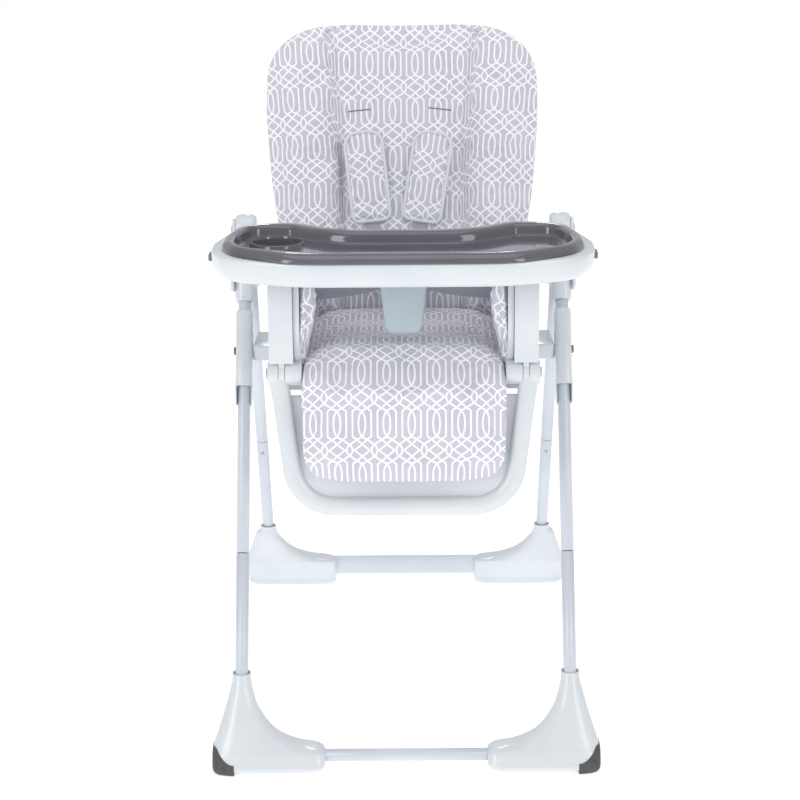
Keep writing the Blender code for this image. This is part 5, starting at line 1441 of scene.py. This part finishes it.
def tape_along(name, path, half_width, half_depth, finish, reference=(1.0, 0.0, 0.0), closed=False,
               power=2.6):
    """A tape carried along a path: a superellipse whose width lies along the reference direction made square
    to the way. The cloth's map runs round the tape and along it."""
    way = np.roll(path, -1, 0) - np.roll(path, 1, 0) if closed else np.gradient(path, axis=0)
    way = way / np.linalg.norm(way, axis=1, keepdims=True)
    wide = np.broadcast_to(np.array(reference, float), path.shape)
    wide = wide - (wide * way).sum(1, keepdims=True) * way
    wide = wide / np.linalg.norm(wide, axis=1, keepdims=True)
    deep = np.cross(way, wide)
    angle = np.linspace(0.0, 2.0 * np.pi, 20, endpoint=False)
    a, b = flat_oval(angle, half_width, half_depth, power)
    points = path[:, None] + a[None, :, None] * wide[:, None] + b[None, :, None] * deep[:, None]
    run = np.concatenate([[0.0], np.cumsum(np.linalg.norm(np.diff(path, axis=0), axis=1))])
    uv = np.stack(np.broadcast_arrays(a[None, :], run[:, None]), -1)
    if closed:
        points, uv = np.concatenate([points, points[:1]]), np.concatenate([uv, uv[:1]])
    piece = surface(name, points, finish, caps=(not closed, not closed), uv=uv)
    return crease(piece, 60.0)


for side_name, side in SIDES:
    edge_path, _ = even_path(side_panel(side_name, side)[::4], 150)
    binding = tape_along(f"side_binding_{side_name}", edge_path, 0.0048, 0.0026, BINDING)
    placed(binding, "seat")
print("2 padded sides with their bindings")

# %% [markdown]
# The harness has a pad on each shoulder strap, printed like the back and bound with grey tape, and webbing
# that runs on to the buckle. The pads hang a little inward toward the bottom.

# %% Shoulder pads
PAD_LENGTH, PAD_HALF_WIDTH, PAD_THICK = 0.1470, 0.0308, 0.0090
PAD_LINING_N = PAD_FRONT - 0.0085
SHOULDER = {"left": ((-0.0655, 0.2965), (-0.0500, 0.1510)), "right": ((0.0525, 0.2950), (0.0300, 0.1515))}


def shoulder_pad(side_name):
    """A rounded oblong pad between its top and bottom points, and the binding round its edge."""
    (top_x, top_h), (low_x, low_h) = SHOULDER[side_name]
    along = np.array([low_x - top_x, low_h - top_h])
    along = along / np.linalg.norm(along)
    across = np.array([-along[1], along[0]])
    v = (1.0 - np.cos(np.linspace(0.0, np.pi, 61)))[:, None] / 2
    u = np.sin(np.linspace(-np.pi / 2, np.pi / 2, 37))[None, :]
    corner = np.where(v < 0.5, 0.0230, 0.0120)
    from_end = np.clip(np.minimum(v, 1 - v) * PAD_LENGTH / corner, 0.0, 1.0)
    half = PAD_HALF_WIDTH - corner * (1.0 - np.sqrt(1.0 - (1.0 - from_end) ** 2))
    x = top_x + along[0] * v * PAD_LENGTH + across[0] * u * half
    h = top_h + along[1] * v * PAD_LENGTH + across[1] * u * half
    full = (1.0 - np.abs(u) ** 4) ** (1 / 3) * np.clip(np.minimum(v, 1 - v) / 0.06, 0.0, 1.0) ** 0.4
    curl = 0.0030 * np.sin(np.pi * v)
    middle = PAD_LINING_N - PAD_THICK / 2 - curl
    faces = [in_back(x, middle - sign * PAD_THICK / 2 * full, h) for sign in (1.0, -1.0)]
    uv = np.stack(np.broadcast_arrays(u * half + 0.35 * CELL_W, v * PAD_LENGTH + 0.3 * CELL_H), -1)
    obj = pad(f"harness_pad_{side_name}", faces[0], faces[1], uv, PRINTED)

    def free(points):
        """Free all over the front face."""
        return (held_share(obj) < 0.5) * 1.0

    filled_with_air(obj, free, 2.5, 0.0025, swell=0.04)
    with_modifiers(obj, subdivide=1)
    placed(obj, "backrest", [f"shoulder_pad_{side_name}"])
    right = np.concatenate([in_back(x[:, -1], middle[:, 0] - 0.0004, h[:, -1]),
                            in_back(x[::-1, 0], middle[::-1, 0] - 0.0004, h[::-1, 0])])
    loop = np.concatenate([right, right[:1]])
    run = np.concatenate([[0.0], np.cumsum(np.linalg.norm(np.diff(loop, axis=0), axis=1))])
    at = np.linspace(0.0, run[-1], 180, endpoint=False)
    edge = np.stack([np.interp(at, run, loop[:, i]) for i in range(3)], -1)
    normal = in_back(0.0, -1.0, 0.0) - in_back(0.0, 0.0, 0.0)
    tape = tape_along(f"harness_pad_binding_{side_name}", edge, PAD_THICK / 2 + 0.0006, 0.0027, BINDING,
                      normal, closed=True)
    placed(tape, "backrest")


for side_name, _ in SIDES:
    shoulder_pad(side_name)
print("2 harness pads")

# %% [markdown]
# Each length of webbing is a flat tape on a smooth line through a few points: from behind a shoulder pad down
# to the buckle, from the buckle out to each side, and from the seat up to the buckle.

# %% Webbing
STRAP_HALF, STRAP_DEEP = 0.0125, 0.0011
BUCKLE_LOW, BUCKLE_HIGH = (np.array(corner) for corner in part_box("buckle"))
BUCKLE = (BUCKLE_LOW + BUCKLE_HIGH) / 2
for side_name, side in SIDES:
    (top_x, top_h), (low_x, low_h) = SHOULDER[side_name]
    strap_n = PAD_LINING_N + 0.0018
    points = [in_back(top_x, PAD_FRONT + 0.004, top_h - 0.012), in_back(top_x, strap_n, top_h - 0.030),
              in_back(low_x, strap_n, low_h), in_back(low_x * 0.85, strap_n - 0.006, low_h - 0.035),
              (side * 0.0200, BUCKLE[1] + 0.020, BUCKLE_HIGH[2] + 0.018),
              (side * 0.0130, BUCKLE[1] + 0.002, BUCKLE_HIGH[2] - 0.004)]
    line, _ = even_path(points, 80)
    strap = tape_along(f"shoulder_strap_{side_name}_webbing", line, STRAP_HALF, STRAP_DEEP, WEBBING,
                       power=5.0)
    tuple(in_back(low_x, strap_n, low_h))
    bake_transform(strap)
    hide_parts(f"shoulder_strap_{side_name}")
    points = [(side * (BUCKLE_HIGH[0] - 0.004), BUCKLE[1], BUCKLE[2]),
              (side * 0.060, BUCKLE[1] + 0.001, BUCKLE[2] - 0.012),
              (side * 0.105, BUCKLE[1] + 0.004, BUCKLE[2] - 0.020),
              (side * 0.1420, BUCKLE[1] + 0.010, BUCKLE[2] - 0.024)]
    line, _ = even_path(points, 50)
    waist = tape_along(f"waist_strap_{side_name}_webbing", line, STRAP_HALF, STRAP_DEEP, WEBBING,
                       (0.0, 0.0, 1.0), power=5.0)
    placed(waist, "seat", [f"waist_strap_{side_name}"])
points = [(0.0, BUCKLE[1] + 0.004, SEAT_TOP_Z - 0.006), (0.0, BUCKLE[1] - 0.002, SEAT_TOP_Z + 0.015),
          (0.0, BUCKLE[1] - 0.003, SEAT_TOP_Z + 0.032), (0.0, BUCKLE[1], BUCKLE_LOW[2] + 0.006)]
line, _ = even_path(points, 40)
crotch = tape_along("crotch_strap_webbing", line, STRAP_HALF, STRAP_DEEP, WEBBING, power=5.0)
placed(crotch, "seat", ["crotch_strap"])
print("5 lengths of webbing")

# %% [markdown]
# The two halves of a hub mesh like fingers, and a smooth hood hides them: an arc of plastic round the fold
# pivot, from in front, over the top and down to where the rear leg leaves. It rides on the front leg.

# %% Hoods over the hubs
HOOD_FROM, HOOD_TO, HOOD_WALL = 12.0, 172.0, 0.0060


def hub_hood(side_name, side):
    """Rows along the arc at angle a from the front, each a rounded strip of radius
    R + w (1 - |u|^2.4)^(1/2.2)."""
    low, high = (np.array(corner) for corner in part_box(f"hub_front_{side_name}"))
    radius = high[2] - HUB[2]
    middle_x, half_x = (low[0] + high[0]) / 2, (high[0] - low[0]) / 2
    a = np.radians(np.linspace(HOOD_FROM, HOOD_TO, 61))[:, None]
    u = np.sin(np.linspace(-np.pi / 2, np.pi / 2, 25))[None, :]
    rounding = np.sin(np.clip(np.linspace(0.0, 12.0, 61)[:, None], 0.0, np.pi / 2))
    swell = HOOD_WALL * (1.0 - np.abs(u) ** 2.4) ** (1 / 2.2) * (rounding * rounding[::-1])
    outer, inner = (np.stack(np.broadcast_arrays(middle_x + u * half_x, HUB[1] - r * np.cos(a),
                                                 HUB[2] + r * np.sin(a)), -1)
                    for r in (radius + 0.0002 + swell, radius + 0.0001))
    hood = pad(f"hub_hood_{side_name}", outer, inner, np.zeros((*outer.shape[:2], 2)), WHITE)
    return placed(crease(hood, 50.0), "front_frame")


for side_name, side in SIDES:
    hub_hood(side_name, side)
print("2 hub hoods")

# %% [markdown]
# The harness passes through two stitched slits in the back. The shade in each slit's opening is painted: a thin
# dark grey tape laid on the pad, a little slanted, stands in for it as a small dark dash.

# %% Harness slits, drawn as painted shade
SLIT_AT = ((-0.0700, 0.3340, -0.10), (0.0620, 0.3355, 0.12))
SLIT_HALF = 0.0185


def surface_n(obj, x, h):
    """How far forward the pad's face stands at a place, from the nearest of its points."""
    points = np.empty(len(obj.data.vertices) * 3)
    obj.data.vertices.foreach_get("co", points)
    points = points.reshape(-1, 3)
    near = points[np.argsort(((points - in_back(x, PAD_FRONT, h)) ** 2).sum(1))[:6]]
    away = (near - RECLINE) @ (in_back(0.0, 1.0, 0.0) - in_back(0.0, 0.0, 0.0))
    return away.min()


for number, (x, h, slope) in enumerate(SLIT_AT):
    t = np.linspace(-1.0, 1.0, 31)
    slit_x, slit_h = x + t * SLIT_HALF, h - slope * t * SLIT_HALF
    line = np.stack([in_back(a, surface_n(back_pad, a, b) - 0.0002, b) for a, b in zip(slit_x, slit_h)])
    up = in_back(0.0, 0.0, 1.0) - in_back(0.0, 0.0, 0.0)
    # The dark grey tape is painted shade for the slit's opening.
    placed(tape_along(f"harness_slit_painted_shade_{number + 1}", line, 0.0010, 0.0006, SATIN_GREY, up), "backrest")
print("2 harness slits")
